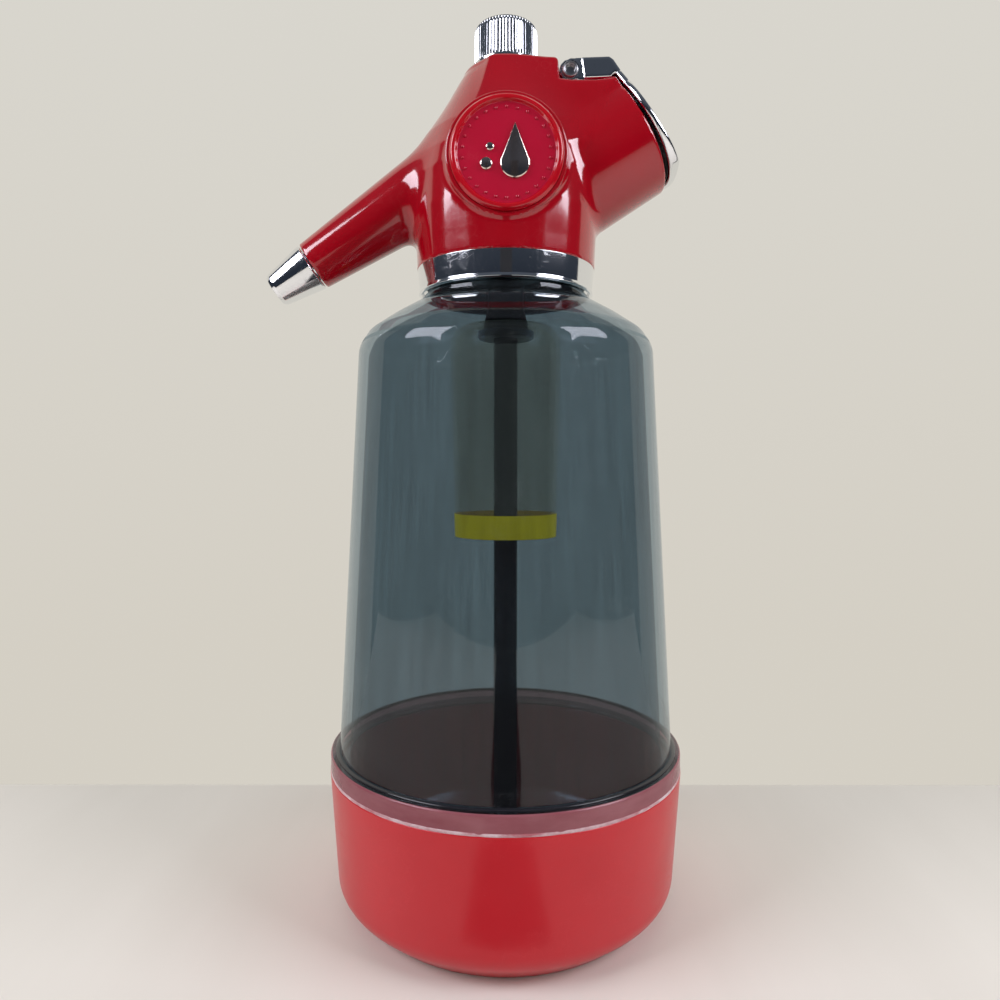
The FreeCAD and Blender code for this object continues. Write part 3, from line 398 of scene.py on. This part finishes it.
def along_spout(v):
    """Local Z out along the spout from (0, 0, 269)."""
    ax = np.array([-CB, 0, -SB])
    ux = np.array([0, 1.0, 0])
    uy = np.cross(ax, ux)
    return v[:, :1] * ux + v[:, 1:2] * uy + v[:, 2:3] * ax + np.array([0, 0, 0.269])


def to_front(y0):
    """Local Z out towards the front (-Y), centred on the badge."""
    def f(v):
        return np.stack([v[:, 0], y0 * MM - v[:, 2], 0.2513 + v[:, 1]], axis=1)
    return f


# ------------------------------------------------------- blended solid shapes


def poly(px, py, pts):
    """Signed distance to a closed outline, negative inside."""
    d = np.full(px.shape, 1e12)
    s = np.ones(px.shape)
    n = len(pts)
    for i in range(n):
        ax, ay = pts[i]
        bx, by = pts[i - 1]
        ex, ey = bx - ax, by - ay
        wx, wy = px - ax, py - ay
        t = np.clip((wx * ex + wy * ey) / (ex * ex + ey * ey), 0, 1)
        dx, dy = wx - ex * t, wy - ey * t
        d = np.minimum(d, dx * dx + dy * dy)
        c1, c2, c3 = py >= ay, py < by, ex * wy > ey * wx
        flip = (c1 & c2 & c3) | (~c1 & ~c2 & ~c3)
        s = np.where(flip, -s, s)
    return s * np.sqrt(d)


def smin(a, b, k):
    h = np.maximum(k - np.abs(a - b), 0) / k
    return np.minimum(a, b) - h * h * k * 0.25


def smax(a, b, k):
    return -smin(-a, -b, k)


def nets(field, lo, hi, step, refine=3):
    """Closed mesh of the zero surface of field, by surface nets."""
    n = [int(math.ceil((hi[k] - lo[k]) / step)) + 1 for k in range(3)]
    ax = [lo[k] + step * np.arange(n[k]) for k in range(3)]
    f = np.empty(n)
    for i in range(0, n[0], 24):
        X, Y, Z = np.meshgrid(ax[0][i:i + 24], ax[1], ax[2], indexing="ij")
        f[i:i + 24] = field(X, Y, Z)
    inside = f < 0
    cells = [k - 1 for k in n]
    acc = np.zeros(cells + [3])
    cnt = np.zeros(cells)
    quads = []
    idx = np.full(cells, -1, dtype=np.int64)
    cross = []
    for a in range(3):
        sl0 = [slice(None)] * 3
        sl1 = [slice(None)] * 3
        sl0[a] = slice(0, n[a] - 1)
        sl1[a] = slice(1, n[a])
        f0, f1 = f[tuple(sl0)], f[tuple(sl1)]
        hit = (f0 < 0) != (f1 < 0)
        I = np.argwhere(hit)
        v0, v1 = f0[hit], f1[hit]
        t = v0 / (v0 - v1)
        P = I.astype(float)
        P[:, a] += t
        b, c = (a + 1) % 3, (a + 2) % 3
        for db in (0, -1):
            for dc in (0, -1):
                J = I.copy()
                J[:, b] += db
                J[:, c] += dc
                ok = (J[:, b] >= 0) & (J[:, b] < cells[b]) & (J[:, c] >= 0) & (J[:, c] < cells[c])
                J = J[ok]
                np.add.at(acc, (J[:, 0], J[:, 1], J[:, 2]), P[ok])
                np.add.at(cnt, (J[:, 0], J[:, 1], J[:, 2]), 1)
        cross.append((a, I, v0 < 0))
    has = cnt > 0
    idx[has] = np.arange(int(has.sum()))
    verts = acc[has] / cnt[has][:, None] * step + np.array(lo)
    faces = []
    for a, I, neg in cross:
        b, c = (a + 1) % 3, (a + 2) % 3
        ok = (I[:, b] > 0) & (I[:, c] > 0) & (I[:, b] < cells[b]) & (I[:, c] < cells[c])
        I, neg = I[ok], neg[ok]
        q = []
        for db, dc in ((0, 0), (-1, 0), (-1, -1), (0, -1)):
            J = I.copy()
            J[:, b] += db
            J[:, c] += dc
            q.append(idx[J[:, 0], J[:, 1], J[:, 2]])
        q = np.stack(q, axis=1)
        q[~neg] = q[~neg][:, ::-1]
        faces.append(q)
    faces = np.concatenate(faces)
    e = 0.02
    for _ in range(refine):
        x, y, z = verts[:, 0], verts[:, 1], verts[:, 2]
        v = field(x, y, z)
        g = np.stack([field(x + e, y, z) - field(x - e, y, z), field(x, y + e, z) - field(x, y - e, z), field(x, y, z + e) - field(x, y, z - e)], axis=1) / (2 * e)
        gg = np.maximum((g * g).sum(axis=1), 0.25)
        d = np.clip(v / gg, -0.5 * step, 0.5 * step)
        verts = verts - g * d[:, None]
    return verts, faces


# outer form of the head, in millimetres
BODY_IN = [(-60, 190), (31.2, 190), (31.2, 222.4), (31.4, 228), (32.0, 240), (31.6, 252), (30.2, 259), (27.3, 267),
           (22.6, 275.6), (17.0, 285.6), (15.2, 288.2), (13.6, 290.6), (-60, 290.6)]
BODY = [(-60, 222.4), (31.2, 222.4), (31.4, 228), (32.0, 240), (31.6, 252), (30.2, 259), (27.3, 267),
        (22.6, 275.6), (17.0, 285.6), (15.4, 288.2), (14.2, 291.6), (-60, 291.6)]
FLANK = [(-17.5, -14.0), (-3.0, -20.28), (-3.0, 20.28), (-17.5, 14.0)]
RIDGE = [(-4.0, 262.0), (24.0, 262.0), (36.3, 282.4), (17.4, 282.4), (17.4, 291.6), (-4.0, 291.6)]


def head_core(x, y, z, outline):
    r = np.hypot(x, y)
    body = poly(r, z, outline)
    zz = z - 239.5
    s = x * CA + zz * SA
    lx = x * SA - zz * CA
    keel = np.minimum(np.hypot(lx, y) - 20.5, poly(lx, y, FLANK))
    barrel = np.maximum(keel, 6.0 - s)
    ridge = smax(poly(x, z, RIDGE), np.abs(y) - (14.2 - (z - 290.6) * 0.16), 1.6)
    zs = z - 269.0
    ss = -x * CB - zs * SB
    q = np.sqrt(np.maximum(x * x + y * y + zs * zs - ss * ss, 1e-9))
    spout = np.maximum((q - (15.7 - 0.0880 * ss)) * 0.996, -ss)
    d = smin(body, ridge, 7.0)
    d = smin(d, barrel, 2.6)
    d = smin(d, spout, 6.0)
    return d, s, ss, lx


def head_field(x, y, z):
    d, s, ss, lx = head_core(x, y, z, BODY)
    inner = head_core(x, y, z, BODY_IN)[0] + 2.35
    out = smax(d, z - 290.6, 1.8)
    out = smax(out, s - (53.3 + 1.5 * np.clip((-3.0 - lx) / 14.5, 0, 1)), 0.9)
    out = smax(out, ss - 81.3, 0.6)
    rb = np.hypot(x, z - 251.3)
    boss = np.maximum(rb - 19.0, -31.6 - y)
    boss = np.maximum(boss, y + 14.0)
    out = smin(out, boss, 2.4)
    f = np.maximum(out, -inner)
    lug = np.maximum(np.abs(y) - 9.0, poly(x, z, [(18.0, 274.0), (24.8, 274.0), (24.8, 287.6), (23.2, 288.8), (19.6, 288.8), (18.0, 287.6)]))
    f = np.minimum(f, np.maximum(lug, d - 9.0))
    pocket = np.maximum(rb - 18.5, y + 30.6)
    f = np.maximum(f, -pocket)
    f = np.maximum(f, -np.maximum(np.hypot(x, y) - 7.95, 270.0 - z))
    return f


step = 0.62
v, f = nets(head_field, (-76.0, -34.0, 215.0), (60.0, 34.0, 292.5), step)
finish_mesh("head_shell_form", v * MM, f, ["head_red"], "head", ["head_shell"], 42)

lathe("badge_boss_ring", [(18.02, -6.0), (19.35, -6.0), (19.3, 1.15, 0.7), (18.02, 1.3, 0.15)],
      ["head_red"], "head", (), 224, to_front(-30.6), sharp=50)

# the lever, built closed and then opened by two degrees about its pin


def on_barrel(s, t):
    return (s * CA + (20.5 - t) * SA, 239.5 + s * SA - (20.5 - t) * CA)


S_IN, S_OUT = 53.55, 58.6
SIDE = [(21.4, 283.0), (21.4, 290.3), (34.6, 290.3), (36.3, 289.0), on_barrel(S_OUT, 33.0), on_barrel(S_OUT, 4.0),
        on_barrel(S_OUT - 2.6, -0.8), on_barrel(S_IN, -0.8), on_barrel(S_IN, 23.5), on_barrel(S_IN + 1.5, 38.3), (35.6, 283.9), (34.6, 283.05)]


def lever_field(x, y, z):
    zz = z - 239.5
    s = x * CA + zz * SA
    lx = x * SA - zz * CA
    keel = np.minimum(np.hypot(lx, y) - 20.5, poly(lx, y, FLANK))
    arm = np.maximum(np.abs(y) - 13.8, 280.5 - z - 0.0 * x)
    arm = np.maximum(arm, -(lx + 16.5))
    arm2 = np.maximum(np.abs(y) - 13.8, lx + 17.0)
    width = np.minimum(keel, arm2)
    side = poly(x, z, SIDE)
    side = np.maximum(side, s - (S_OUT - 2.6 * np.minimum(np.abs(y) / 19.0, 1.1) ** 2))
    f = smax(side, width, 1.1)
    # the arm is set in a little beside the ear
    f = smax(f, -np.maximum(13.0 - np.abs(y), x - (25.2 + (290.3 - z) * 0.12)), 0.5)
    ear = smax(np.hypot(x - 21.4, z - 286.4) - 3.6, np.abs(y) - 13.0, 0.5)
    f = smin(f, ear, 0.5)
    channel = np.maximum(np.maximum(np.abs(y) - 10.9, z - 289.2), x - 31.5)
    f = smax(f, -channel, 0.6)
    f = np.maximum(f, -(np.hypot(x - 21.4, z - 286.4) - 2.75))
    keel_in = np.minimum(np.hypot(lx, y) - 18.2, poly(lx, y, [(-13.5, -9.6), (-3.0, -18.0), (-3.0, 18.0), (-13.5, 9.6)]))
    recess = np.maximum(keel_in, s - 55.0)
    f = smax(f, -recess, 0.7)
    return f


def opened(v, deg=2.0):
    a = math.radians(deg)
    c = np.array([21.4, 0, 286.4])
    d = v - c
    out = d.copy()
    out[:, 0] = d[:, 0] * math.cos(a) - d[:, 2] * math.sin(a)
    out[:, 2] = d[:, 0] * math.sin(a) + d[:, 2] * math.cos(a)
    return out + c


step = 0.36
v, f = nets(lever_field, (16.5, -22.0, 248.0), (63.5, 22.0, 292.5), step)
finish_mesh("lever_form", opened(v) * MM, f, ["lever_chrome"], "lever", ["lever"], 38)


def liner_field(x, y, z):
    zz = z - 239.5
    s = x * CA + zz * SA
    lx = x * SA - zz * CA
    k1 = np.minimum(np.hypot(lx, y) - 18.05, poly(lx, y, [(-13.3, -9.4), (-3.0, -17.9), (-3.0, 17.9), (-13.3, 9.4)]))
    k2 = np.minimum(np.hypot(lx, y) - 17.1, poly(lx, y, [(-12.5, -8.8), (-3.0, -16.8), (-3.0, 16.8), (-12.5, 8.8)]))
    a = np.maximum(np.maximum(k1, s - 54.95), 53.6 - s)
    b = smax(np.maximum(k2, s - 54.6), 50.75 - s, 1.2)
    return np.minimum(a, b)


v, f = nets(liner_field, (30.0, -20.0, 248.0), (62.0, 20.0, 286.0), 0.55)
finish_mesh("lever_liner_form", opened(v) * MM, f, ["black"], "lever", ["lever_liner"], 38)


def pin_place(v):
    return np.stack([v[:, 0] + 0.0214, v[:, 2], v[:, 1] + 0.2864], axis=1)


lathe("lever_pin_form", [(0, -12.4), (1.5, -12.4, 0.2), (1.75, -13.7, 0.2), (2.35, -13.9, 0.25), (2.68, -13.4, 0.3),
                         (2.68, 13.4, 0.3), (2.35, 13.9, 0.25), (1.75, 13.7, 0.2), (1.5, 12.4, 0.2), (0, 12.4)],
      ["steel"], "head", ["lever_pin"], 96, pin_place)

# ---------------------------------------------------------------- the vessel
lathe("base_cup_form", [
    (0, 0), (50.2, 0, 3.0), (59.4, 8.2, 9.0), (60.1, 18.0, 30.0), (62.15, 48.85, 0.5), (59.7, 48.85, 0.4),
    (57.0, 12.0, 6.0), (49.8, 3.0, 4.0), (0, 3.0)],
    ["cup_red"], "vessel", ["base_cup"], 256, sharp=50, step=6.0)


def wall(z):
    return 58.85 + (51.5 - 58.85) * (z - 55.3) / (194.1 - 55.3)


OUT = [(59.95, 48.92), (61.95, 48.92, 0.2), (61.95, 55.3, 0.9), (wall(55.3) + 0.05, 55.3, 0.5)]
OUT += [(51.45, 194.6, 9.0), (47.9, 200.0, 6.0), (39.8, 205.5, 30.0), (31.0, 210.6, 3.0), (28.85, 211.4, 0.4), (28.85, 213.2, 0.6), (26.8, 213.5, 0.3)]
for z0 in (215.0, 219.0, 223.0):
    OUT += [(26.75, z0, 0.2), (27.6, z0 + 0.7, 0.2), (27.6, z0 + 1.5, 0.2), (26.75, z0 + 2.2, 0.2)]
OUT += [(26.75, 226.0, 0.4), (23.0, 226.0, 0.4), (23.0, 208.9, 2.0), (37.6, 202.4, 30.0), (46.0, 196.9, 5.0), (wall(192.0) - 3.5, 192.0, 8.0), (wall(52.3) - 3.5, 52.3), (59.95, 52.3)]


def vessel_pick(r, z, dr, dz):
    # faces of the flange get the flange material, which has the cup's red light painted in
    if z < 55.2 and r > 60.5:
        return 2
    if z > 211.0:
        return 0
    outer = r > wall(z) - 1.7 if z < 195 else (z > 205.4 - (r - 38.7) * 0.62 - 1.9)
    return 0 if outer else 1


lathe("vessel_body_form", OUT, ["smoke_out", "smoke_in", "flange_painted_cup_light"], "vessel", ["vessel_body"], 256, sharp=40, pick=vessel_pick, step=9.0)
lathe("vessel_bottom_form", [
    (0, 3.05), (47.0, 3.05, 4.0), (56.0, 12.0, 8.0), (57.6, 48.9, 0.4), (59.9, 48.95, 0.2), (59.9, 52.25, 0.2), (55.35, 52.25, 0.3), (55.0, 46.0, 2.0),
    (53.1, 14.5, 8.0), (45.0, 7.2, 5.0), (0, 7.2)],
    ["bottom_smoke"], "vessel", ["vessel_bottom"], 192, sharp=45, step=7.0)


def glue_wobble(r, z, th):
    k = (math.sin(th * 31 + 1.3) + math.sin(th * 53 + 0.4) + math.sin(th * 17 + 2.0) + math.sin(th * 97)) / 4
    return r + (0.09 * k if r > 61.9 else 0.0)


# a thin near-black ring along the wall-ledge crease, putting painted shade into the crease; its gloss catches a
# highlight from the lamps
lathe("ledge_bead", [(58.6, 55.0), (60.3, 55.0, 0.2), (60.35, 55.75, 0.4), (59.5, 56.1, 0.4), (58.6, 56.0, 0.2)],
      ["bead"], "vessel", (), 256, sharp=60)
lathe("weld_line", [(61.3, 48.75, 0.1), (62.02, 48.75, 0.1), (62.06, 49.2, 0.15), (61.98, 49.75, 0.1), (61.3, 49.75, 0.1)],
      ["glue"], "vessel", (), 720, sharp=60, wobble=glue_wobble)

# ----------------------------------------------------------------- the tubes


def bell_pick(r, z, dr, dz):
    mid = 18.05 + (19.6 - 18.05) * (z - 128.6) / 66.4 - 0.75
    return 0 if r > mid and z < 195 or z > 202.2 else 1


lathe("measuring_tube_form", [
    (8.0, 201.6), (8.0, 203.4, 0.4), (15.4, 203.2, 4.0), (19.2, 200.0, 4.0), (19.6, 194.0, 6.0), (18.05, 128.6, 0.5), (16.55, 128.6, 0.5),
    (18.05, 194.0, 6.0), (17.6, 199.0, 3.5), (14.4, 201.6, 3.0)],
    ["tube_out", "tube_in"], "tube_set", ["measuring_tube"], 160, sharp=45, pick=bell_pick, step=6.0)
lathe("level_band", [(18.08, 128.9, 0.05), (18.16, 128.9, 0.05), (18.38, 137.0, 0.05), (18.30, 137.0, 0.05)],
      ["band"], "tube_set", (), 160, sharp=50)
lathe("tube_holder_form", [
    (4.27, 199.0, 0.3), (10.0, 199.0, 0.8), (10.0, 201.55, 0.3), (8.0, 201.6), (7.95, 203.6, 0.4), (6.4, 210.0, 4.0), (6.4, 218.0, 3.0), (22.7, 222.0, 0.5),
    (22.7, 226.02), (24.6, 226.02, 0.3), (24.6, 229.45, 0.3), (4.27, 229.45, 0.3)],
    ["black"], "tube_set", ["tube_holder"], 128, sharp=40)
lathe("riser_tube_form", [(2.6, 14.0, 0.2), (4.25, 14.0, 0.3), (4.25, 233.0, 0.3), (2.6, 233.0, 0.2)],
      ["tube_black"], "tube_set", ["riser_tube"], 96, sharp=45, step=20.0)

# ------------------------------------------------------------ collar, nozzle
lathe("collar_form", [
    (29.35, 213.45, 0.25), (30.1, 213.4, 0.3), (30.75, 213.9, 0.3), (30.45, 214.9, 0.6), (31.1, 222.38, 0.15), (28.9, 222.4, 0.2), (28.9, 229.5, 0.2), (27.75, 229.5, 0.2), (27.75, 216.2, 0.3), (29.2, 215.4, 0.3)],
    ["collar_chrome"], "head", ["collar"], 256, sharp=45)
lathe("nozzle_form", [
    (3.2, 74.0, 0.2), (6.3, 74.0, 0.4), (6.3, 81.7), (8.0, 81.75, 0.2), (8.5, 82.2, 0.35), (6.05, 96.3, 1.2), (5.3, 97.5, 0.5), (4.2, 97.7, 0.4), (3.35, 96.6, 0.4), (3.2, 95.0, 0.5)],
    ["chrome"], "head", ["nozzle"], 160, along_spout, sharp=40)

# ------------------------------------------------------------------- the cap
FL = 60


def flute(r, z, th):
    if r < 9.2 or z < 293.35 or z > 306.3:
        return r
    k = 0.5 + 0.5 * math.cos(th * FL)
    depth = 0.55 * min(1.0, (z - 293.35) / 0.35) * min(1.0, max(0.0, (306.3 - z) / 1.2))
    return r - depth * (1 - k) ** 0.9


lathe("charging_cap_form", [
    (7.9, 292.25, 0.3), (11.3, 292.25, 0.35), (11.32, 293.25, 0.25), (11.12, 293.45), (11.12, 293.8), (10.95, 304.6, 1.0), (10.5, 306.0, 1.2), (9.0, 306.95, 1.0), (0, 306.95), (0, 304.5), (7.9, 304.5, 0.3)],
    ["cap_chrome"], "cap", ["charging_cap"], FL * 12, sharp=28, wobble=flute, step=1.6)
lathe("stem_nut_form", [(7.82, 290.65, 0.1), (9.9, 290.65, 0.2), (9.9, 291.4, 0.25), (9.2, 291.88, 0.2), (7.82, 291.88, 0.1)],
      ["black"], "head", ["stem_nut"], 96)

# ----------------------------------------------------------------- the badge
lathe("badge_disc_form", [
    (0, 0), (17.97, 0, 0.2), (17.97, 1.9, 0.6), (17.2, 2.9, 0.7), (16.1, 2.9, 0.6), (15.45, 1.75, 0.35), (15.2, 1.7), (0, 1.7)],
    ["rim_red", "badge_red"], "head", ["badge_disc"], 192, to_front(-30.6), sharp=40,
    pick=lambda r, z, dr, dz: 1 if r < 15.5 and z > 1.0 else 0, step=3.0)


def dots():
    verts, faces = [], []
    for i in range(26):
        a = 2 * math.pi * (i + 0.5) / 26
        cx, cz = 13.9 * math.cos(a), 13.9 * math.sin(a)
        base = len(verts)
        for ri, (rr, hh) in enumerate(((0.52, 0.0), (0.50, 0.18), (0.40, 0.36), (0.22, 0.48))):
            for k in range(12):
                t = 2 * math.pi * k / 12
                verts.append((cx + rr * math.cos(t), cz + rr * math.sin(t), 1.69 + hh))
        top = len(verts)
        verts.append((cx, cz, 1.69 + 0.52))
        for ri in range(3):
            for k in range(12):
                l = (k + 1) % 12
                faces.append((base + ri * 12 + k, base + ri * 12 + l, base + (ri + 1) * 12 + l, base + (ri + 1) * 12 + k))
        for k in range(12):
            faces.append((base + 36 + k, base + 36 + (k + 1) % 12, top))
        faces.append(tuple(base + 11 - k for k in range(12)))
    return np.array(verts) * MM, faces


v, f = dots()
finish_mesh("badge_dots", to_front(-30.6)(v), f, ["badge_red"], "head", (), 60)


def emblem():
    """A drop and two bubbles with bevelled edges."""
    outl = []
    h, r, cx, cz = 17.0, 4.6, 2.6, -3.4
    d = h - r
    ang = math.acos(r / d)
    pts = [(cx + 0.0, cz + d)]
    for k in range(41):
        a = (math.pi / 2 - ang) - (2 * math.pi - 2 * ang) * k / 40
        pts.append((cx + r * math.cos(a), cz + r * math.sin(a)))
    outl.append(pts)
    for (bx, bz, br) in ((-6.4, -3.6, 1.9), (-5.2, 1.6, 1.25)):
        outl.append([(bx + br * math.cos(-2 * math.pi * k / 32), bz + br * math.sin(-2 * math.pi * k / 32)) for k in range(32)])
    verts, faces = [], []
    for pts in outl:
        c = np.mean(np.array(pts), axis=0)
        P = np.array(pts)
        n = len(P)
        nxt, prv = np.roll(P, -1, 0), np.roll(P, 1, 0)
        t = nxt - prv
        t /= np.linalg.norm(t, axis=1)[:, None]
        nrm = np.stack([-t[:, 1], t[:, 0]], 1)
        base = len(verts)
        for inset, hh in ((0.0, 0.0), (0.0, 0.55), (0.12, 0.72), (0.42, 0.86)):
            for k in range(n):
                q = P[k] - nrm[k] * inset
                verts.append((q[0], q[1], 1.7 + hh))
        for ri in range(3):
            for k in range(n):
                l = (k + 1) % n
                faces.append((base + ri * n + l, base + ri * n + k, base + (ri + 1) * n + k, base + (ri + 1) * n + l))
        faces.append(tuple(base + 3 * n + n - 1 - k for k in range(n)))
        faces.append(tuple(base + k for k in range(n)))
    return np.array(verts) * MM, faces


v, f = emblem()
finish_mesh("badge_emblem_form", to_front(-30.6)(v), f, ["emblem_chrome"], "head", ["badge_emblem"], 30)

# -------------------------------------------- finishes of the remaining nodes
KEEP = {
    "neck_gasket": "rubber", "riser_foot": "black", "valve_block": "white", "valve_seat": "brass", "gland_seal": "rubber",
    "gland_nut": "brass", "plunger": "steel", "plunger_washer": "rubber", "valve_spring": "spring_steel", "spout_tube": "white",
    "spout_grommet": "rubber", "charging_stem": "brass", "stem_oring": "rubber", "check_sleeve": "rubber", "stem_filter": "brass",
    "piercing_pin": "steel", "badge_screw": "steel", "cap_washer": "rubber"}
for node, mt in KEEP.items():
    ob = NODES[node]
    if not ob.material_slots:
        ob.data.materials.append(M[mt])
    for s in ob.material_slots:
        s.material = M[mt]

# ------------------------------------------------------------------ the stage


def plane(name, pts, mat):
    me = bpy.data.meshes.new(name)
    me.from_pydata(pts, [], [tuple(range(len(pts)))])
    ob = bpy.data.objects.new(name, me)
    scene.collection.objects.link(ob)
    me.materials.append(mat)
    return ob


fm = Mat("pale_floor")
fc = fm.mix(fm.ramp(fm.noise(9.0, 5.0, 0.6, (1.0, 0.15, 1.0)), [(0.3, 0.0), (0.7, 1.0)]), (0.69, 0.655, 0.58), (0.75, 0.715, 0.64))
fp = fm.principled(Base_Color=fc, Roughness=0.62, Normal=fm.bump(fm.noise(260.0, 4.0, 0.6, (1.0, 0.1, 1.0)), 0.10, 0.0002))
floor_mat = fm.done(fp.outputs[0])
plane("floor", [(-0.9, -0.84, 0), (0.9, -0.84, 0), (0.9, 0.088, 0), (-0.9, 0.088, 0)], floor_mat)
dm = Mat("dark_card")
dp = dm.principled(Base_Color=(0.010, 0.011, 0.015), Roughness=0.9)
card = plane("dark_card", [(-0.10, -0.80, 0.001), (0.10, -0.80, 0.001), (0.10, -0.80, 0.62), (-0.10, -0.80, 0.62)], dm.done(dp.outputs[0]))
strip = plane("dark_strip", [(-0.085, -0.80, 0.0006), (0.085, -0.80, 0.0006), (0.024, -0.075, 0.0006), (-0.024, -0.075, 0.0006)], bpy.data.materials["dark_card"])
for ob in (card, strip):
    ob.visible_camera = False
    ob.visible_diffuse = False
    ob.visible_shadow = False
    ob.visible_transmission = False

world = bpy.data.worlds.new("studio")
scene.world = world
world.use_nodes = True
wt = world.node_tree
wt.nodes.clear()


def wn(kind, **kw):
    nd = wt.nodes.new(kind)
    for k, v_ in kw.items():
        setattr(nd, k, v_)
    return nd


def wmath(op, a, b=0.0, clamp=False):
    nd = wn("ShaderNodeMath", operation=op, use_clamp=clamp)
    for i, v_ in enumerate((a, b)):
        if isinstance(v_, bpy.types.NodeSocket):
            wt.links.new(v_, nd.inputs[i])
        else:
            nd.inputs[i].default_value = v_
    return nd.outputs[0]


def wmix(fac, a, b):
    nd = wn("ShaderNodeMix", data_type="RGBA")
    for k, v_ in ((0, fac), (6, a), (7, b)):
        if isinstance(v_, bpy.types.NodeSocket):
            wt.links.new(v_, nd.inputs[k])
        else:
            nd.inputs[k].default_value = v_ if k == 0 else tuple(v_) + (1,)
    return nd.outputs[2]


co = wn("ShaderNodeTexCoord")
sep = wn("ShaderNodeSeparateXYZ")
wt.links.new(co.outputs["Generated"], sep.inputs[0])
dx, dy, dz = sep.outputs
hor = wmath("SQRT", wmath("MAXIMUM", wmath("SUBTRACT", 1.0, wmath("MULTIPLY", dz, dz)), 0.0001))
yy = wmath("DIVIDE", dy, hor)
back = wmath("MULTIPLY", wmath("SUBTRACT", yy, 0.255), 60.0, clamp=True)
room = wmix(wmath("MULTIPLY", wmath("SUBTRACT", dz, 0.1), 1.0, clamp=True), (0.022, 0.028, 0.040), (0.10, 0.115, 0.14))
wallc = (0.69, 0.665, 0.60)
env = wmix(back, room, wallc)
lp = wn("ShaderNodeLightPath")
cam_bg = wmix(wmath("MULTIPLY", wmath("ADD", dz, 0.2), 1.4, clamp=True), (0.66, 0.625, 0.555), (0.69, 0.67, 0.615))
col = wmix(lp.outputs["Is Camera Ray"], env, cam_bg)
bg = wn("ShaderNodeBackground")
wt.links.new(col, bg.inputs["Color"])
wo = wn("ShaderNodeOutputWorld")
wt.links.new(bg.outputs[0], wo.inputs["Surface"])


def area(name, loc, aim, sx, sy, power, color=(1, 1, 1)):
    L = bpy.data.lights.new(name, "AREA")
    L.shape = "RECTANGLE"
    L.size, L.size_y = sx, sy
    L.energy = power
    L.color = color
    ob = bpy.data.objects.new(name, L)
    scene.collection.objects.link(ob)
    ob.location = loc
    ob.rotation_euler = (Vector(aim) - Vector(loc)).to_track_quat("-Z", "Y").to_euler()
    return ob


area("window_left", (-0.74, -0.36, 0.655), (0, 0, 0.24), 0.52, 0.42, 6.6, (0.90, 0.90, 1.0))
area("window_right", (0.74, -0.36, 0.655), (0, 0, 0.24), 0.52, 0.42, 6.6, (0.90, 0.90, 1.0))
fill = area("front_fill", (0, -0.95, 0.55), (0, 0, 0.12), 1.0, 0.6, 2.0, (1.0, 0.97, 0.94))
fill.visible_glossy = False
top = area("top_fill", (0, -0.25, 1.1), (0, 0, 0.0), 1.1, 0.7, 1.0, (1.0, 0.97, 0.93))
top.visible_glossy = False

scene.view_settings.view_transform = "Standard"
scene.view_settings.look = "None"

cam_data = bpy.data.cameras.new("photo_camera")
cam_data.sensor_width = 36.0
cam_data.lens = 27.036
cam = bpy.data.objects.new("photo_camera", cam_data)
scene.collection.objects.link(cam)
cam.location = (-0.0020, -0.26994, 0.1527)
pitch = math.radians(90 - 2.33)
cam.rotation_mode = "XYZ"
cam.matrix_world = Matrix.Translation(cam.location) @ Matrix.Rotation(pitch, 4, "X") @ Matrix.Rotation(math.radians(0.04), 4, "Z")
cam_data.clip_start, cam_data.clip_end = 0.01, 20
scene.camera = cam
